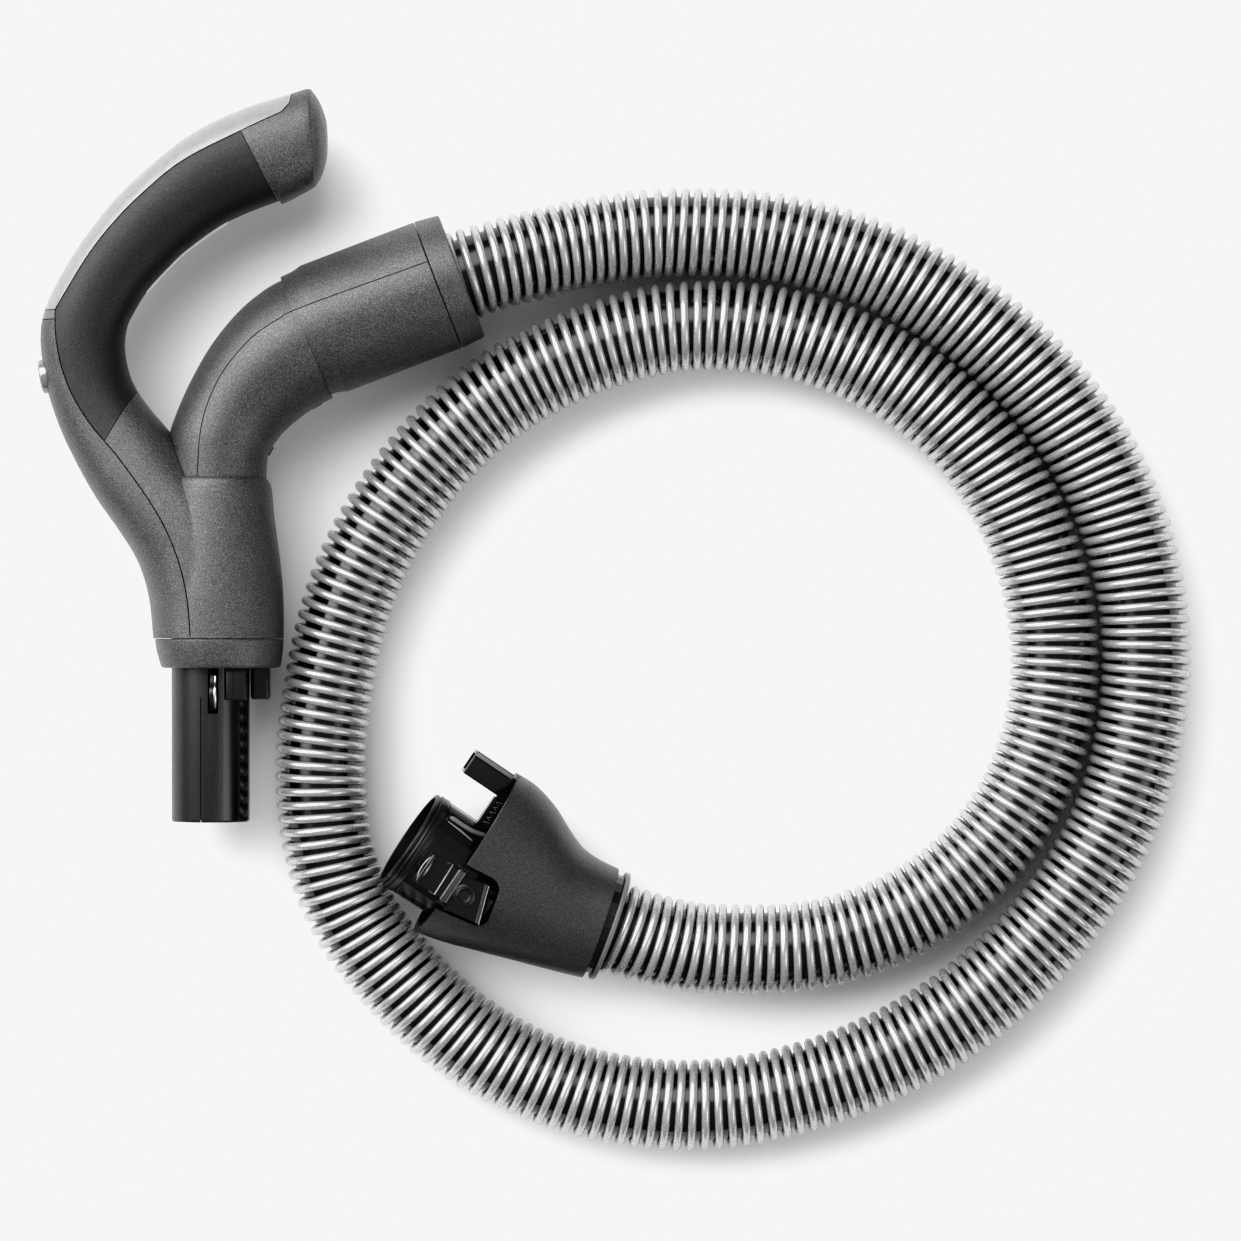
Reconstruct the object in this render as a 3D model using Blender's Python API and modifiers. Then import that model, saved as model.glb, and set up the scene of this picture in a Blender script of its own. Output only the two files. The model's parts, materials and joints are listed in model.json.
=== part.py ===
"""Suction hose of a canister vacuum cleaner: a handle with a soft grip and an elbow, a ribbed hose
laid in a loose spiral, and the latching connector that plugs into the machine.

The object lies flat on the plane z = 0, with +Y towards the grip and the wand tube pointing to -Y.
The origin is the bottom centre of the box around the handle and the connector.
Outlines are in millimetres, as seen from above; MM turns them into metres.
"""

import math

import bmesh
import bpy
from mathutils import Matrix, Vector

MM = 0.001
GAP = 0.3  # between pieces that touch
HALF_GAP = GAP / 2

# Sizes that the rest follows from.
WAND_RADIUS = 17.5
HOSE_RADIUS = 20.25
HANDLE_Z = 30.25
HOSE_REST_Z = 20.5  # the height of its middle on the floor
SKIN = 3.0
DUCT_RADIUS = 15.6
SLEEVE_RADIUS = 30.1

# How fine the lofted and turned pieces are.
AROUND = 18
CORE_AROUND = 12
STEPS_BETWEEN = 2
TURN_STEPS = 24

# The handle's outline from the end cap round the grip to the collar: a point on its outer edge,
# the point across from it on its inner edge, and half its depth there.
HANDLE = (
    (-18.0, 198.0, -22.0, 148.5, 18.5),
    (-41.5, 190.5, -24.5, 149.5, 18.6),
    (-66.0, 178.0, -46.5, 140.5, 18.2),
    (-89.5, 158.5, -64.5, 128.0, 17.6),
    (-102.5, 144.5, -75.0, 118.0, 17.2),
    (-114.0, 129.0, -83.5, 108.5, 17.0),
    (-123.0, 114.0, -89.0, 99.5, 17.0),
    (-129.0, 100.5, -92.0, 93.0, 17.2),
    (-130.8, 88.0, -93.0, 84.0, 17.4),
    (-129.3, 74.0, -91.5, 74.5, 17.6),
    (-127.0, 62.5, -88.5, 66.5, 18.0),
    (-122.0, 48.0, -82.0, 57.0, 19.0),
    (-115.5, 34.0, -73.0, 46.5, 20.6),
    (-106.0, 17.0, -61.0, 31.0, 23.0),
    (-95.5, 2.0, -45.0, 15.0, 25.2),
    (-87.0, -12.0, -31.0, -5.0, 26.8),
    (-82.0, -28.5, -25.0, -27.0, 27.5),
    (-80.0, -49.0, -24.0, -49.0, 27.8),
)
CAP_NOSE = (
    (-10.0, 200.0, -8.5, 155.5, 17.6),
    (-6.0, 195.0, -5.0, 161.0, 14.8),
    (-2.6, 187.0, -2.4, 168.5, 9.0),
)
CORE_FIRST, CORE_LAST = 1, 14

# The tube-shaped socket that the elbow stands in, from the collar up.
SOCKET = (
    (-79.6, -49.0, -21.8, -49.0, 29.0),
    (-80.5, -28.0, -21.9, -28.0, 28.8),
    (-79.0, -11.5, -23.3, -11.5, 28.0),
    (-76.0, 8.0, -25.9, 8.0, 26.8),
    (-74.5, 20.5, -27.0, 19.5, 26.0),
    (-72.5, 25.8, -29.2, 24.6, 24.4),
)

# The elbow from inside the socket to the step, then the straight sleeve.
ELBOW = (
    (-73.0, 8.0, -29.0, 8.0),
    (-73.5, 26.0, -29.5, 23.5),
    (-73.0, 43.5, -29.0, 34.5),
    (-70.0, 54.0, -27.3, 38.3),
    (-63.0, 69.7, -24.3, 43.3),
    (-53.5, 86.0, -19.5, 48.2),
    (-41.5, 100.5, -12.5, 54.0),
    (-29.5, 110.3, -5.3, 58.5),
    (-20.8, 115.0, 0.0, 61.3),
)
SLEEVE_START = Vector((-5.0, 92.0, HANDLE_Z))
SLEEVE_AXIS = Vector((0.934, 0.357, 0)).normalized()
SLEEVE_LENGTH = 56.0
COLLAR_LENGTH = 11.6

# Where the handle's skin is split, each from the grip's end downwards.
STRIP_EDGE = (
    (-18.5, 192.5), (-22.0, 188.5), (-40.0, 180.0), (-65.5, 167.0), (-82.5, 153.5), (-97.0, 139.0),
    (-109.0, 123.5), (-123.0, 100.5),
)
COVER_SEAM = (
    (-123.0, 96.0), (-122.5, 87.5), (-120.0, 75.0), (-115.0, 62.0), (-107.5, 50.0), (-100.5, 41.5),
    (-94.5, 34.5), (-82.0, 17.5), (-73.0, 2.5), (-66.5, -14.0), (-63.0, -30.5), (-61.5, -50.0),
)
NECK_JOINT = 5  # the neck line leaves the seam at this point
NECK_END = (-81.0, 74.0)
CAP_LINE_END = (-19.5, 139.5)
ELBOW_SEAM = (
    (-60.0, 0.0), (-59.0, 28.5), (-57.5, 46.5), (-53.5, 61.0), (-46.5, 74.0), (-34.5, 87.5),
    (-22.0, 96.0), (-11.5, 101.0), (44.0, 121.0), (80.0, 134.0),
)
INLAY_ROWS = slice(2, 6)  # the inlay follows the grip's inner edge along these rows

COLLAR_TOP = -46.7
COLLAR_BOTTOM = -59.6
WAND_X = -54.5
WAND_END = -128.5
WAND_TOP = -22.0

# The push button on the handle's outer edge.
BUTTON_CENTRE = Vector((-129.3, 71.0, HANDLE_Z))
BUTTON_IN = Vector((0.985, 0.172, 0)).normalized()
BUTTON_RADIUS = 7.8

# The air slider moves around the centre of the elbow's bend.
BEND_CENTRE = Vector((19.7, 9.8, HANDLE_Z))
BEND_TO_PIPE = 79.8
SLIDER_FROM, SLIDER_TO = 117.0, 152.0
SLIDER_TRAVEL = 8.0
BUMP_LENGTH = 4.5  # all of these are angles about that centre

# The hose's middle line from inside the handle's cuff to inside the connector's cuff.
HOSE_LEAVES = (
    (36.6, 107.9, 30.25), (47.7, 112.15, 30.25), (58.8, 116.35, 30.2), (70.0, 120.2, 29.7),
    (88.0, 125.2, 27.6), (108.0, 130.4, 24.4), (131.0, 134.3, 21.8), (155.0, 136.3, 20.6),
)
# The two turns that lie on the floor, from above.
HOSE_TURNS = (
    (202.2, 133.5), (248.9, 119.7), (290.2, 94.6), (325.0, 60.4), (350.3, 18.8), (363.6, -28.0),
    (364.5, -76.5), (353.2, -124.2), (329.2, -166.9), (296.5, -202.9), (257.0, -230.1),
    (211.8, -248.4), (163.5, -256.4), (115.3, -251.3), (70.5, -233.0), (32.6, -202.0),
    (4.9, -163.1), (-5.3, -115.4), (-1.5, -66.5), (10.5, -20.0), (34.0, 22.0), (67.0, 57.0),
    (108.5, 81.0), (155.0, 93.6), (203.0, 91.0), (248.0, 74.0), (285.5, 44.5), (311.5, 4.5),
    (323.8, -42.0), (320.5, -90.0), (300.0, -133.5), (264.5, -166.0), (219.5, -183.5),
)
HOSE_ARRIVES = (
    (174.0, -186.0, 21.2), (148.0, -182.6, 23.0), (124.3, -175.6, 25.3), (113.0, -171.6, 26.1),
    (101.8, -167.6, 26.9),
)
HOSE_ROUTE = HOSE_LEAVES + tuple((x, y, HOSE_REST_Z) for x, y in HOSE_TURNS) + HOSE_ARRIVES
HOSE_POINTS = 78

# The connector's outline from the hose end to the mouth:
# a point on its upper edge, one on its lower edge, the height of its middle, half its depth.
HOUSING = (
    (128.3, -149.9, 111.6, -198.6, 25.6, 25.2),
    (119.5, -145.5, 102.0, -196.3, 26.4, 25.6),
    (112.5, -140.3, 90.0, -193.1, 27.4, 26.2),
    (106.5, -132.0, 77.0, -189.6, 28.7, 27.0),
    (100.0, -121.5, 62.5, -185.7, 30.4, 28.0),
    (91.8, -112.4, 48.5, -181.8, 32.2, 29.0),
    (83.4, -107.0, 37.0, -177.4, 33.9, 29.6),
)
RING_CENTRE = Vector((122.3, -174.9, 25.4))
HOSE_END_AXIS = Vector((-0.938, 0.334, 0.07)).normalized()
MOUTH_CENTRE = Vector((54.7, -149.4, 34.0))
MOUTH_TILT = math.radians(6.5)
MOUTH_AXIS = Vector((
    -0.829 * math.cos(MOUTH_TILT),
    0.559 * math.cos(MOUTH_TILT),
    math.sin(MOUTH_TILT),
))
HOUSING_WALL = 2.6
SPIGOT_RADIUS = 23.6
LATCH_SIDE = -5.6  # the latches sit this far to the side of the spigot's middle
LATCH_HALF_WIDTH = 8.2
# The latch's notch in the housing and its pad, from above.
NOTCH = (
    (62.4, -147.4), (74.2, -153.6), (75.8, -158.0), (70.0, -172.8),
    (65.8, -174.6), (47.5, -166.4), (41.5, -162.4), (55.6, -142.4),
)
PAD = ((57.6, -151.4), (69.6, -155.4), (65.0, -172.6), (48.6, -165.4))


# ---------------------------------------------------------------------------------------------
# Tools
# ---------------------------------------------------------------------------------------------
def clear_scene():
    for thing in list(bpy.data.objects):
        bpy.data.objects.remove(thing, do_unlink=True)
    for group in list(bpy.data.collections):
        bpy.data.collections.remove(group)


def collection(name):
    group = bpy.data.collections.new(name)
    bpy.context.scene.collection.children.link(group)
    return group


def material(name, colour, roughness, metallic=0.0):
    made = bpy.data.materials.new(name)
    made.use_nodes = True
    shader = made.node_tree.nodes["Principled BSDF"]
    shader.inputs["Base Color"].default_value = (*colour, 1.0)
    shader.inputs["Roughness"].default_value = roughness
    shader.inputs["Metallic"].default_value = metallic
    made.diffuse_color = (*colour, 1.0)
    return made


def mesh_object(name, bm, group, made_of=None):
    """The object of a bmesh in millimetres, in metres, smooth with sharp edges kept."""
    bmesh.ops.scale(bm, vec=(MM, MM, MM), verts=bm.verts)
    bmesh.ops.recalc_face_normals(bm, faces=bm.faces)
    mesh = bpy.data.meshes.new(name)
    bm.to_mesh(mesh)
    bm.free()
    mesh.shade_smooth()
    mesh.set_sharp_from_angle(angle=math.radians(35))
    thing = bpy.data.objects.new(name, mesh)
    group.objects.link(thing)
    if made_of:
        mesh.materials.append(made_of)
    if group is CUTTERS:
        thing.hide_render = True
        thing.display_type = "WIRE"
    return thing


def boolean(thing, other, operation="DIFFERENCE"):
    change = thing.modifiers.new(f"{operation.lower()} {other.name}", "BOOLEAN")
    change.operation = operation
    change.solver = "EXACT"
    change.object = other


def baked(name, thing, group, made_of=None):
    """A plain mesh copy of an object with its modifiers applied."""
    bpy.context.view_layer.update()
    mesh = bpy.data.meshes.new_from_object(thing.evaluated_get(bpy.context.evaluated_depsgraph_get()))
    mesh.name = name
    copy = bpy.data.objects.new(name, mesh)
    copy.matrix_world = thing.matrix_world
    group.objects.link(copy)
    mesh.materials.clear()
    if made_of:
        mesh.materials.append(made_of)
    if group is CUTTERS:
        copy.hide_render = True
        copy.display_type = "WIRE"
    return copy


def put_origin(thing, point):
    """Moves an object's origin to a point given in millimetres, and leaves its shape where it is."""
    at = Vector(point) * MM
    thing.data.transform(Matrix.Translation(-at) @ thing.matrix_world)
    thing.matrix_world = Matrix.Translation(at)


def smooth_rows(rows, steps):
    """Rows of numbers with more rows between them, on a Catmull-Rom curve through them."""
    made = []
    last = len(rows) - 1
    for i in range(last):
        before, here, there, after = rows[max(i - 1, 0)], rows[i], rows[i + 1], rows[min(i + 2, last)]
        for step in range(steps):
            t = step / steps
            made.append([
                0.5 * (2 * b + (c - a) * t + (2 * a - 5 * b + 4 * c - d) * t * t
                       + (3 * b - a - 3 * c + d) * t * t * t)
                for a, b, c, d in zip(before, here, there, after)
            ])
    made.append(list(rows[-1]))
    return made


def oval(centre, side, up, power=2.0, count=AROUND):
    """The points of a closed oval whose half axes are side and up; a higher power is squarer."""
    points = []
    for i in range(count):
        angle = 2 * math.pi * (i + 0.5) / count
        c, s = math.cos(angle), math.sin(angle)
        along = math.copysign(abs(c) ** (2 / power), c)
        across = math.copysign(abs(s) ** (2 / power), s)
        points.append(centre + side * along + up * across)
    return points


def loft(name, ovals, group, made_of=None):
    """A closed skin over ovals with the same number of points."""
    bm = bmesh.new()
    rings = [[bm.verts.new(p) for p in points] for points in ovals]
    count = len(rings[0])
    for one, two in zip(rings, rings[1:]):
        for i in range(count):
            j = (i + 1) % count
            bm.faces.new((one[i], one[j], two[j], two[i]))
    bm.faces.new(reversed(rings[0]))
    bm.faces.new(rings[-1])
    return mesh_object(name, bm, group, made_of)


def edge_ovals(rows, grow=0.0, power=2.0, count=AROUND, steps=STEPS_BETWEEN):
    """Ovals across the handle from rows of outer point, inner point and half depth."""
    made = []
    for row in smooth_rows(rows, steps):
        outer, inner = Vector((row[0], row[1], 0)), Vector((row[2], row[3], 0))
        half = (outer - inner) / 2
        depth = row[4] if len(row) > 4 else half.length
        centre = (outer + inner) / 2 + Vector((0, 0, HANDLE_Z))
        side = half.normalized() * (half.length + grow)
        made.append(oval(centre, side, Vector((0, 0, depth + grow)), power, count))
    return made


def prism(name, outline, low, high, group, made_of=None):
    """A flat outline from above, as a solid between two heights."""
    curve = bpy.data.curves.new(name, "CURVE")
    curve.dimensions = "2D"
    curve.fill_mode = "BOTH"
    curve.extrude = (high - low) / 2 * MM
    spline = curve.splines.new("POLY")
    spline.points.add(len(outline) - 1)
    for point, (x, y) in zip(spline.points, outline):
        point.co = (x * MM, y * MM, 0, 1)
    spline.use_cyclic_u = True
    drawn = bpy.data.objects.new(name, curve)
    drawn.location.z = (high + low) / 2 * MM
    bpy.context.scene.collection.objects.link(drawn)
    return curve_to_mesh(name, drawn, group, made_of)


def curve_to_mesh(name, drawn, group, made_of=None):
    """Replaces a drawn curve with its closed mesh."""
    bpy.context.view_layer.update()
    mesh = bpy.data.meshes.new_from_object(drawn.evaluated_get(bpy.context.evaluated_depsgraph_get()))
    mesh.transform(drawn.matrix_world)
    old = drawn.data
    bpy.data.objects.remove(drawn, do_unlink=True)
    bpy.data.curves.remove(old)
    bm = bmesh.new()
    bm.from_mesh(mesh)
    bpy.data.meshes.remove(mesh)
    bmesh.ops.remove_doubles(bm, verts=bm.verts, dist=0.00001)
    bmesh.ops.scale(bm, vec=(1 / MM, 1 / MM, 1 / MM), verts=bm.verts)
    return mesh_object(name, bm, group, made_of)


def tube(name, points, radius, group, made_of=None, sides=2):
    """A round bar along points, with filled ends; sides is its bevel resolution."""
    curve = bpy.data.curves.new(name, "CURVE")
    curve.dimensions = "3D"
    curve.bevel_depth = radius * MM
    curve.bevel_resolution = sides
    curve.use_fill_caps = True
    spline = curve.splines.new("POLY")
    spline.points.add(len(points) - 1)
    for point, place in zip(spline.points, points):
        point.co = (*(Vector(place) * MM), 1)
    drawn = bpy.data.objects.new(name, curve)
    bpy.context.scene.collection.objects.link(drawn)
    return curve_to_mesh(name, drawn, group, made_of)


def frame_at(origin, along, up=Vector((0, 0, 1))):
    """A frame with +Z along a direction and +Y as near to up as it goes."""
    z = Vector(along).normalized()
    x = Vector(up).cross(z).normalized()
    y = z.cross(x)
    turn = Matrix((x, y, z)).transposed().to_4x4()
    return Matrix.Translation(Vector(origin)) @ turn


def turned(name, profile, frame, group, made_of=None, steps=TURN_STEPS, closed=True):
    """A profile of radius and height turned around the frame's +Z. It runs down its outer side."""
    bm = bmesh.new()
    points = [bm.verts.new((r, 0, h)) for r, h in profile]
    for one, two in zip(points, points[1:]):
        bm.edges.new((one, two))
    if closed:
        bm.edges.new((points[-1], points[0]))
    mesh = bpy.data.meshes.new(name)
    bm.to_mesh(mesh)
    bm.free()
    drawn = bpy.data.objects.new(name, mesh)
    bpy.context.scene.collection.objects.link(drawn)
    screw = drawn.modifiers.new("turned", "SCREW")
    screw.steps = steps
    screw.render_steps = steps
    screw.use_merge_vertices = True
    screw.merge_threshold = 0.00001
    bpy.context.view_layer.update()
    solid = bpy.data.meshes.new_from_object(drawn.evaluated_get(bpy.context.evaluated_depsgraph_get()))
    bpy.data.objects.remove(drawn, do_unlink=True)
    bm = bmesh.new()
    bm.from_mesh(solid)
    bpy.data.meshes.remove(solid)
    bmesh.ops.remove_doubles(bm, verts=bm.verts, dist=0.00001)
    bmesh.ops.transform(bm, matrix=frame, verts=bm.verts)
    return mesh_object(name, bm, group, made_of)


def box(name, low, high, frame, group, made_of=None):
    """A box between two corners given in a frame."""
    bm = bmesh.new()
    bmesh.ops.create_cube(bm, size=1)
    low, high = Vector(low), Vector(high)
    size = high - low
    bmesh.ops.scale(bm, vec=size, verts=bm.verts)
    bmesh.ops.translate(bm, vec=(low + high) / 2, verts=bm.verts)
    bmesh.ops.transform(bm, matrix=frame, verts=bm.verts)
    return mesh_object(name, bm, group, made_of)


def rod(name, radius, low, high, frame, group, made_of=None, count=16):
    """A cylinder along the frame's +Z between two heights."""
    bm = bmesh.new()
    bmesh.ops.create_cone(
        bm, cap_ends=True, segments=count, radius1=radius, radius2=radius, depth=high - low
    )
    bmesh.ops.translate(bm, vec=(0, 0, (low + high) / 2), verts=bm.verts)
    bmesh.ops.transform(bm, matrix=frame, verts=bm.verts)
    return mesh_object(name, bm, group, made_of)


def shifted(points, distance):
    """A line moved sideways: to the left of its direction for a positive distance."""
    made = []
    for i, (x, y) in enumerate(points):
        x0, y0 = points[max(i - 1, 0)]
        x1, y1 = points[min(i + 1, len(points) - 1)]
        run = math.hypot(x1 - x0, y1 - y0)
        made.append((x - (y1 - y0) / run * distance, y + (x1 - x0) / run * distance))
    return made


# ---------------------------------------------------------------------------------------------
# Handle
# ---------------------------------------------------------------------------------------------
def handle_blank(name, grow, group):
    rows = tuple(reversed(CAP_NOSE)) + HANDLE
    return loft(name, edge_ovals(rows, grow, 2.3), group)


def handle_core(name, grow, shorter):
    """The tongue inside the handle's skin; shorter is a part of its first and last section."""
    ovals = edge_ovals(HANDLE[CORE_FIRST:CORE_LAST], grow - SKIN, 2.3, CORE_AROUND, 1)
    ovals[0] = [here.lerp(there, shorter) for here, there in zip(ovals[0], ovals[1])]
    ovals[-1] = [here.lerp(there, shorter) for here, there in zip(ovals[-1], ovals[-2])]
    return loft(name, ovals, CUTTERS)


def piece_inside(name, region, blank, made_of):
    """The part of a solid that lies inside a region seen from above."""
    piece = baked(name, blank, PARTS, made_of)
    boolean(piece, prism(f"{name}_region", region, -10, 80, CUTTERS), "INTERSECT")
    return piece


def skin_piece(name, region, blank, core, made_of):
    piece = piece_inside(name, region, blank, made_of)
    boolean(piece, core)
    return piece


def make_handle(paint):
    blank = handle_blank("handle_blank", 0.0, CUTTERS)
    core_cut = handle_core("core_space", 0.0, 0.0)
    core = handle_core("core", -GAP, 0.03)
    strip_out = shifted(STRIP_EDGE, -HALF_GAP)
    strip_in = shifted(STRIP_EDGE, HALF_GAP)
    seam_out = shifted(COVER_SEAM, -HALF_GAP)
    seam_in = shifted(COVER_SEAM, HALF_GAP)
    neck_start, neck_end = COVER_SEAM[NECK_JOINT], NECK_END
    neck_up = shifted((neck_start, neck_end), HALF_GAP)
    neck_down = shifted((neck_start, neck_end), -HALF_GAP)
    cap_out = shifted((STRIP_EDGE[2], CAP_LINE_END), HALF_GAP)
    cap_in = shifted((STRIP_EDGE[2], CAP_LINE_END), -HALF_GAP)

    strip = strip_out + [(-140, 100.8), (-140, 215), (-15.0, 215)]
    skin_piece("top_strip", strip, blank, core_cut, paint["silver"])
    band = [(-123.2, 100.3), (-140, 100.5), (-140, 96.2), (-123.2, 96.3)]
    skin_piece("strip_foot_band", band, blank, core_cut, paint["grey"])
    cap = cap_out[::-1] + strip_in[1::-1] + [(-14.6, 215), (20, 215), (20, 130)]
    skin_piece("end_cap", cap, blank, core_cut, paint["shell"])
    inside = [(-30, 128), (-60, 95)]
    grip = cap_in + inside + neck_up[::-1] + seam_in[NECK_JOINT - 1 :: -1] + strip_in[:2:-1]
    grip = skin_piece("soft_grip", grip, blank, core_cut, paint["grip"])
    cover = seam_out[:-1] + [(-61.6, -46.4), (-140, -46.4), (-140, 95.8)]
    cover = skin_piece("front_cover", cover, blank, core_cut, paint["shell"])

    trunk = trunk_region(seam_in, neck_down)
    body = piece_inside("handle_body", trunk, trunk_blank(blank), paint["shell"])
    boolean(body, core, "UNION")
    socket_cuts(body, cover)
    make_inlay(grip, paint)
    return body, cover


def trunk_region(seam_in, neck_down):
    below = [(-61.6, -46.4), (0, -46.4), (0, 62), (-60, 66)]
    return seam_in[NECK_JOINT + 1 : -1] + below + neck_down[::-1]


def trunk_blank(blank):
    joined = baked("trunk_blank", blank, CUTTERS)
    boolean(joined, loft("socket", edge_ovals(SOCKET, 0.0, 2.15), CUTTERS), "UNION")
    return joined


def duct_points():
    """The middle of the air duct from the wand tube to the sleeve."""
    points = [(WAND_X, WAND_TOP - 4, HANDLE_Z), (WAND_X, -8, HANDLE_Z), (-51.5, 6, HANDLE_Z)]
    for row in smooth_rows(ELBOW, 1)[1:]:
        points.append(((row[0] + row[2]) / 2, (row[1] + row[3]) / 2, HANDLE_Z))
    points.append(tuple(SLEEVE_START + SLEEVE_AXIS * 40))
    return points


def socket_cuts(body, cover):
    """The hollow for the elbow, the wand tube and the air in the handle's lower part."""
    outer_x, outer_y, inner_x, inner_y = ELBOW[0]
    rows = ((outer_x, outer_y - GAP, inner_x, inner_y - GAP),) + ELBOW[1:]
    elbow_space = loft("elbow_space", edge_ovals(rows, GAP), CUTTERS)
    top = WAND_TOP + GAP
    wand_space = rod("wand_space", WAND_RADIUS + GAP, -60, top, wand_frame(), CUTTERS, count=24)
    duct = tube("duct_space", duct_points(), DUCT_RADIUS, CUTTERS, sides=4)
    for piece in (body, cover):
        boolean(piece, wand_space)
        boolean(piece, duct)
    boolean(body, elbow_space)


def make_inlay(grip, paint):
    """The thin light inlay along the grip's inner edge."""
    line = []
    for row in smooth_rows(HANDLE[INLAY_ROWS], 3):
        outer, inner = Vector((row[0], row[1], HANDLE_Z)), Vector((row[2], row[3], HANDLE_Z))
        line.append(inner + (outer - inner).normalized() * 0.5)
    tube("grip_inlay", line, 0.9, PARTS, paint["silver"], sides=1)
    ends = [line[0] * 2 - line[1], line[-1] * 2 - line[-2]]
    groove = [line[0].lerp(ends[0], 0.1), *line[1:-1], line[-1].lerp(ends[1], 0.1)]
    boolean(grip, tube("inlay_groove", groove, 0.9 + GAP, CUTTERS, sides=1))


def wand_frame():
    """+Z up the wand tube, towards the handle."""
    return frame_at((WAND_X, 0, HANDLE_Z), (0, 1, 0))


def make_button(cover, body, paint):
    """The push button, its spring, its switch and their board, in a pocket behind the cover."""
    frame = frame_at(BUTTON_CENTRE, BUTTON_IN)
    r = BUTTON_RADIUS
    boolean(cover, rod("button_hole", r + GAP, -8, 9, frame, CUTTERS, count=24))
    boolean(body, box("board_pocket", (-13, -10.5, -6), (13, 10.5, 16), frame, CUTTERS))
    stem = ((0, 6.2), (2.2, 6.2), (2.2, 3.0))
    cap = ((r, 3.0), (r, -0.6), (r - 0.7, -1.4), (r * 0.6, -1.8), (0, -1.9))
    profile = stem + cap
    button = turned("push_button", profile, frame, PARTS, paint["gloss"], closed=False)
    put_origin(button, BUTTON_CENTRE)
    turns, per_turn = 4, 8
    coil = []
    for i in range(turns * per_turn + 1):
        angle = 2 * math.pi * i / per_turn
        height = 3.8 + 7.0 * i / (turns * per_turn)
        coil.append(frame @ Vector((6.2 * math.cos(angle), 6.2 * math.sin(angle), height)))
    spring = tube("button_spring", coil, 0.45, PARTS, paint["steel"], sides=1)
    put_origin(spring, BUTTON_CENTRE)
    box("micro_switch", (-3.6, -3.0, 8.0), (3.6, 3.0, 13.0), frame, PARTS, paint["black"])
    box("circuit_board", (-12, -8.5, 13.3), (12, 8.5, 14.9), frame, PARTS, paint["board"])


# ---------------------------------------------------------------------------------------------
# Wand end
# ---------------------------------------------------------------------------------------------
def make_wand_end(paint):
    """The collar under the handle, the tube that plugs into a wand, its catch and its contacts."""
    rows = (
        (-79.4, COLLAR_TOP, -21.8, COLLAR_TOP, 28.8),
        (-78.4, -52.5, -22.4, -52.5, 28.0),
        (-76.6, COLLAR_BOTTOM, -23.2, COLLAR_BOTTOM, 26.4),
    )
    collar = loft("bottom_collar", edge_ovals(rows, 0.0, 2.2), PARTS, paint["shell"])
    frame = wand_frame()
    boolean(collar, rod("collar_bore", WAND_RADIUS + GAP, -70, -30, frame, CUTTERS, count=24))
    r, wall = WAND_RADIUS, 2.0
    outside = ((r, WAND_TOP), (r, WAND_END + 1.0), (r - 0.6, WAND_END))
    inside = ((r - wall, WAND_END), (r - wall, WAND_TOP))
    profile = outside + inside
    wand = turned("wand_tube", profile, frame, PARTS, paint["black"])
    low, high = (-58.6, -79.8, HANDLE_Z + 11), (-50.4, -61.0, HANDLE_Z + 30)
    catch_slot = box("catch_slot", low, high, Matrix(), CUTTERS)
    boolean(wand, catch_slot)
    make_catch(paint)
    low, high = (-46.6, -74.0, HANDLE_Z + 4), (-37.4, -60.0, HANDLE_Z + 17.2)
    block = box("contact_block", low, high, Matrix(), PARTS, paint["black"])
    boolean(block, rod("block_hollow", WAND_RADIUS + GAP, -90, -50, frame, CUTTERS, count=24))
    low, high = (-36.2, -73.8, HANDLE_Z - 7), (-27.8, -50.0, HANDLE_Z + 7)
    peg = box("contact_peg", low, high, Matrix(), PARTS, paint["black"])
    low, high = (-36.5, -60.5, HANDLE_Z - 7.3), (-27.5, -49.7, HANDLE_Z + 7.3)
    boolean(collar, box("peg_seat", low, high, Matrix(), CUTTERS))
    low, high = (-34.6, -75.0, HANDLE_Z - 5.4), (-29.4, -64.0, HANDLE_Z + 5.4)
    boolean(peg, box("peg_socket", low, high, Matrix(), CUTTERS))
    for i, height in enumerate((-2.8, 2.8)):
        pin = frame_at((-32.0, -72.5, HANDLE_Z + height), (0, 1, 0))
        rod(f"contact_pin_{i + 1}", 0.9, 0, 8.1, pin, PARTS, paint["brass"], count=10)


def make_catch(paint):
    """A bent strip of spring steel that bulges out of the slot in the wand tube."""
    top = HANDLE_Z + WAND_RADIUS
    rows = ((-62.5, -1.6), (-66.0, -0.9), (-70.0, 0.9), (-74.0, 0.6), (-78.0, -1.6))
    ovals = []
    for y, rise in rows:
        centre = Vector((WAND_X, y, top + rise - 1.2))
        corners = ((-3.2, -0.5), (3.2, -0.5), (3.2, 0.5), (-3.2, 0.5))
        ovals.append([centre + Vector((x, 0, z)) for x, z in corners])
    catch = loft("wand_catch", ovals, PARTS, paint["steel"])
    put_origin(catch, (WAND_X, -70.0, top))


# ---------------------------------------------------------------------------------------------
# Elbow, its slider and the swivel at the hose
# ---------------------------------------------------------------------------------------------
def sleeve_frame(distance=0.0):
    """+Z along the sleeve towards the hose, from that far past the step."""
    return frame_at(SLEEVE_START + SLEEVE_AXIS * distance, SLEEVE_AXIS)


def elbow_blank():
    blank = loft("elbow_blank", edge_ovals(ELBOW), CUTTERS)
    r = SLEEVE_RADIUS
    straight = ((0, SLEEVE_LENGTH), (r, SLEEVE_LENGTH), (r, 1.2))
    step = ((r - 1.4, 0.0), (r - 3.0, -7.0), (0, -7.0))
    profile = straight + step
    boolean(blank, turned("sleeve", profile, sleeve_frame(), CUTTERS, closed=False), "UNION")
    return blank


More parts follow.
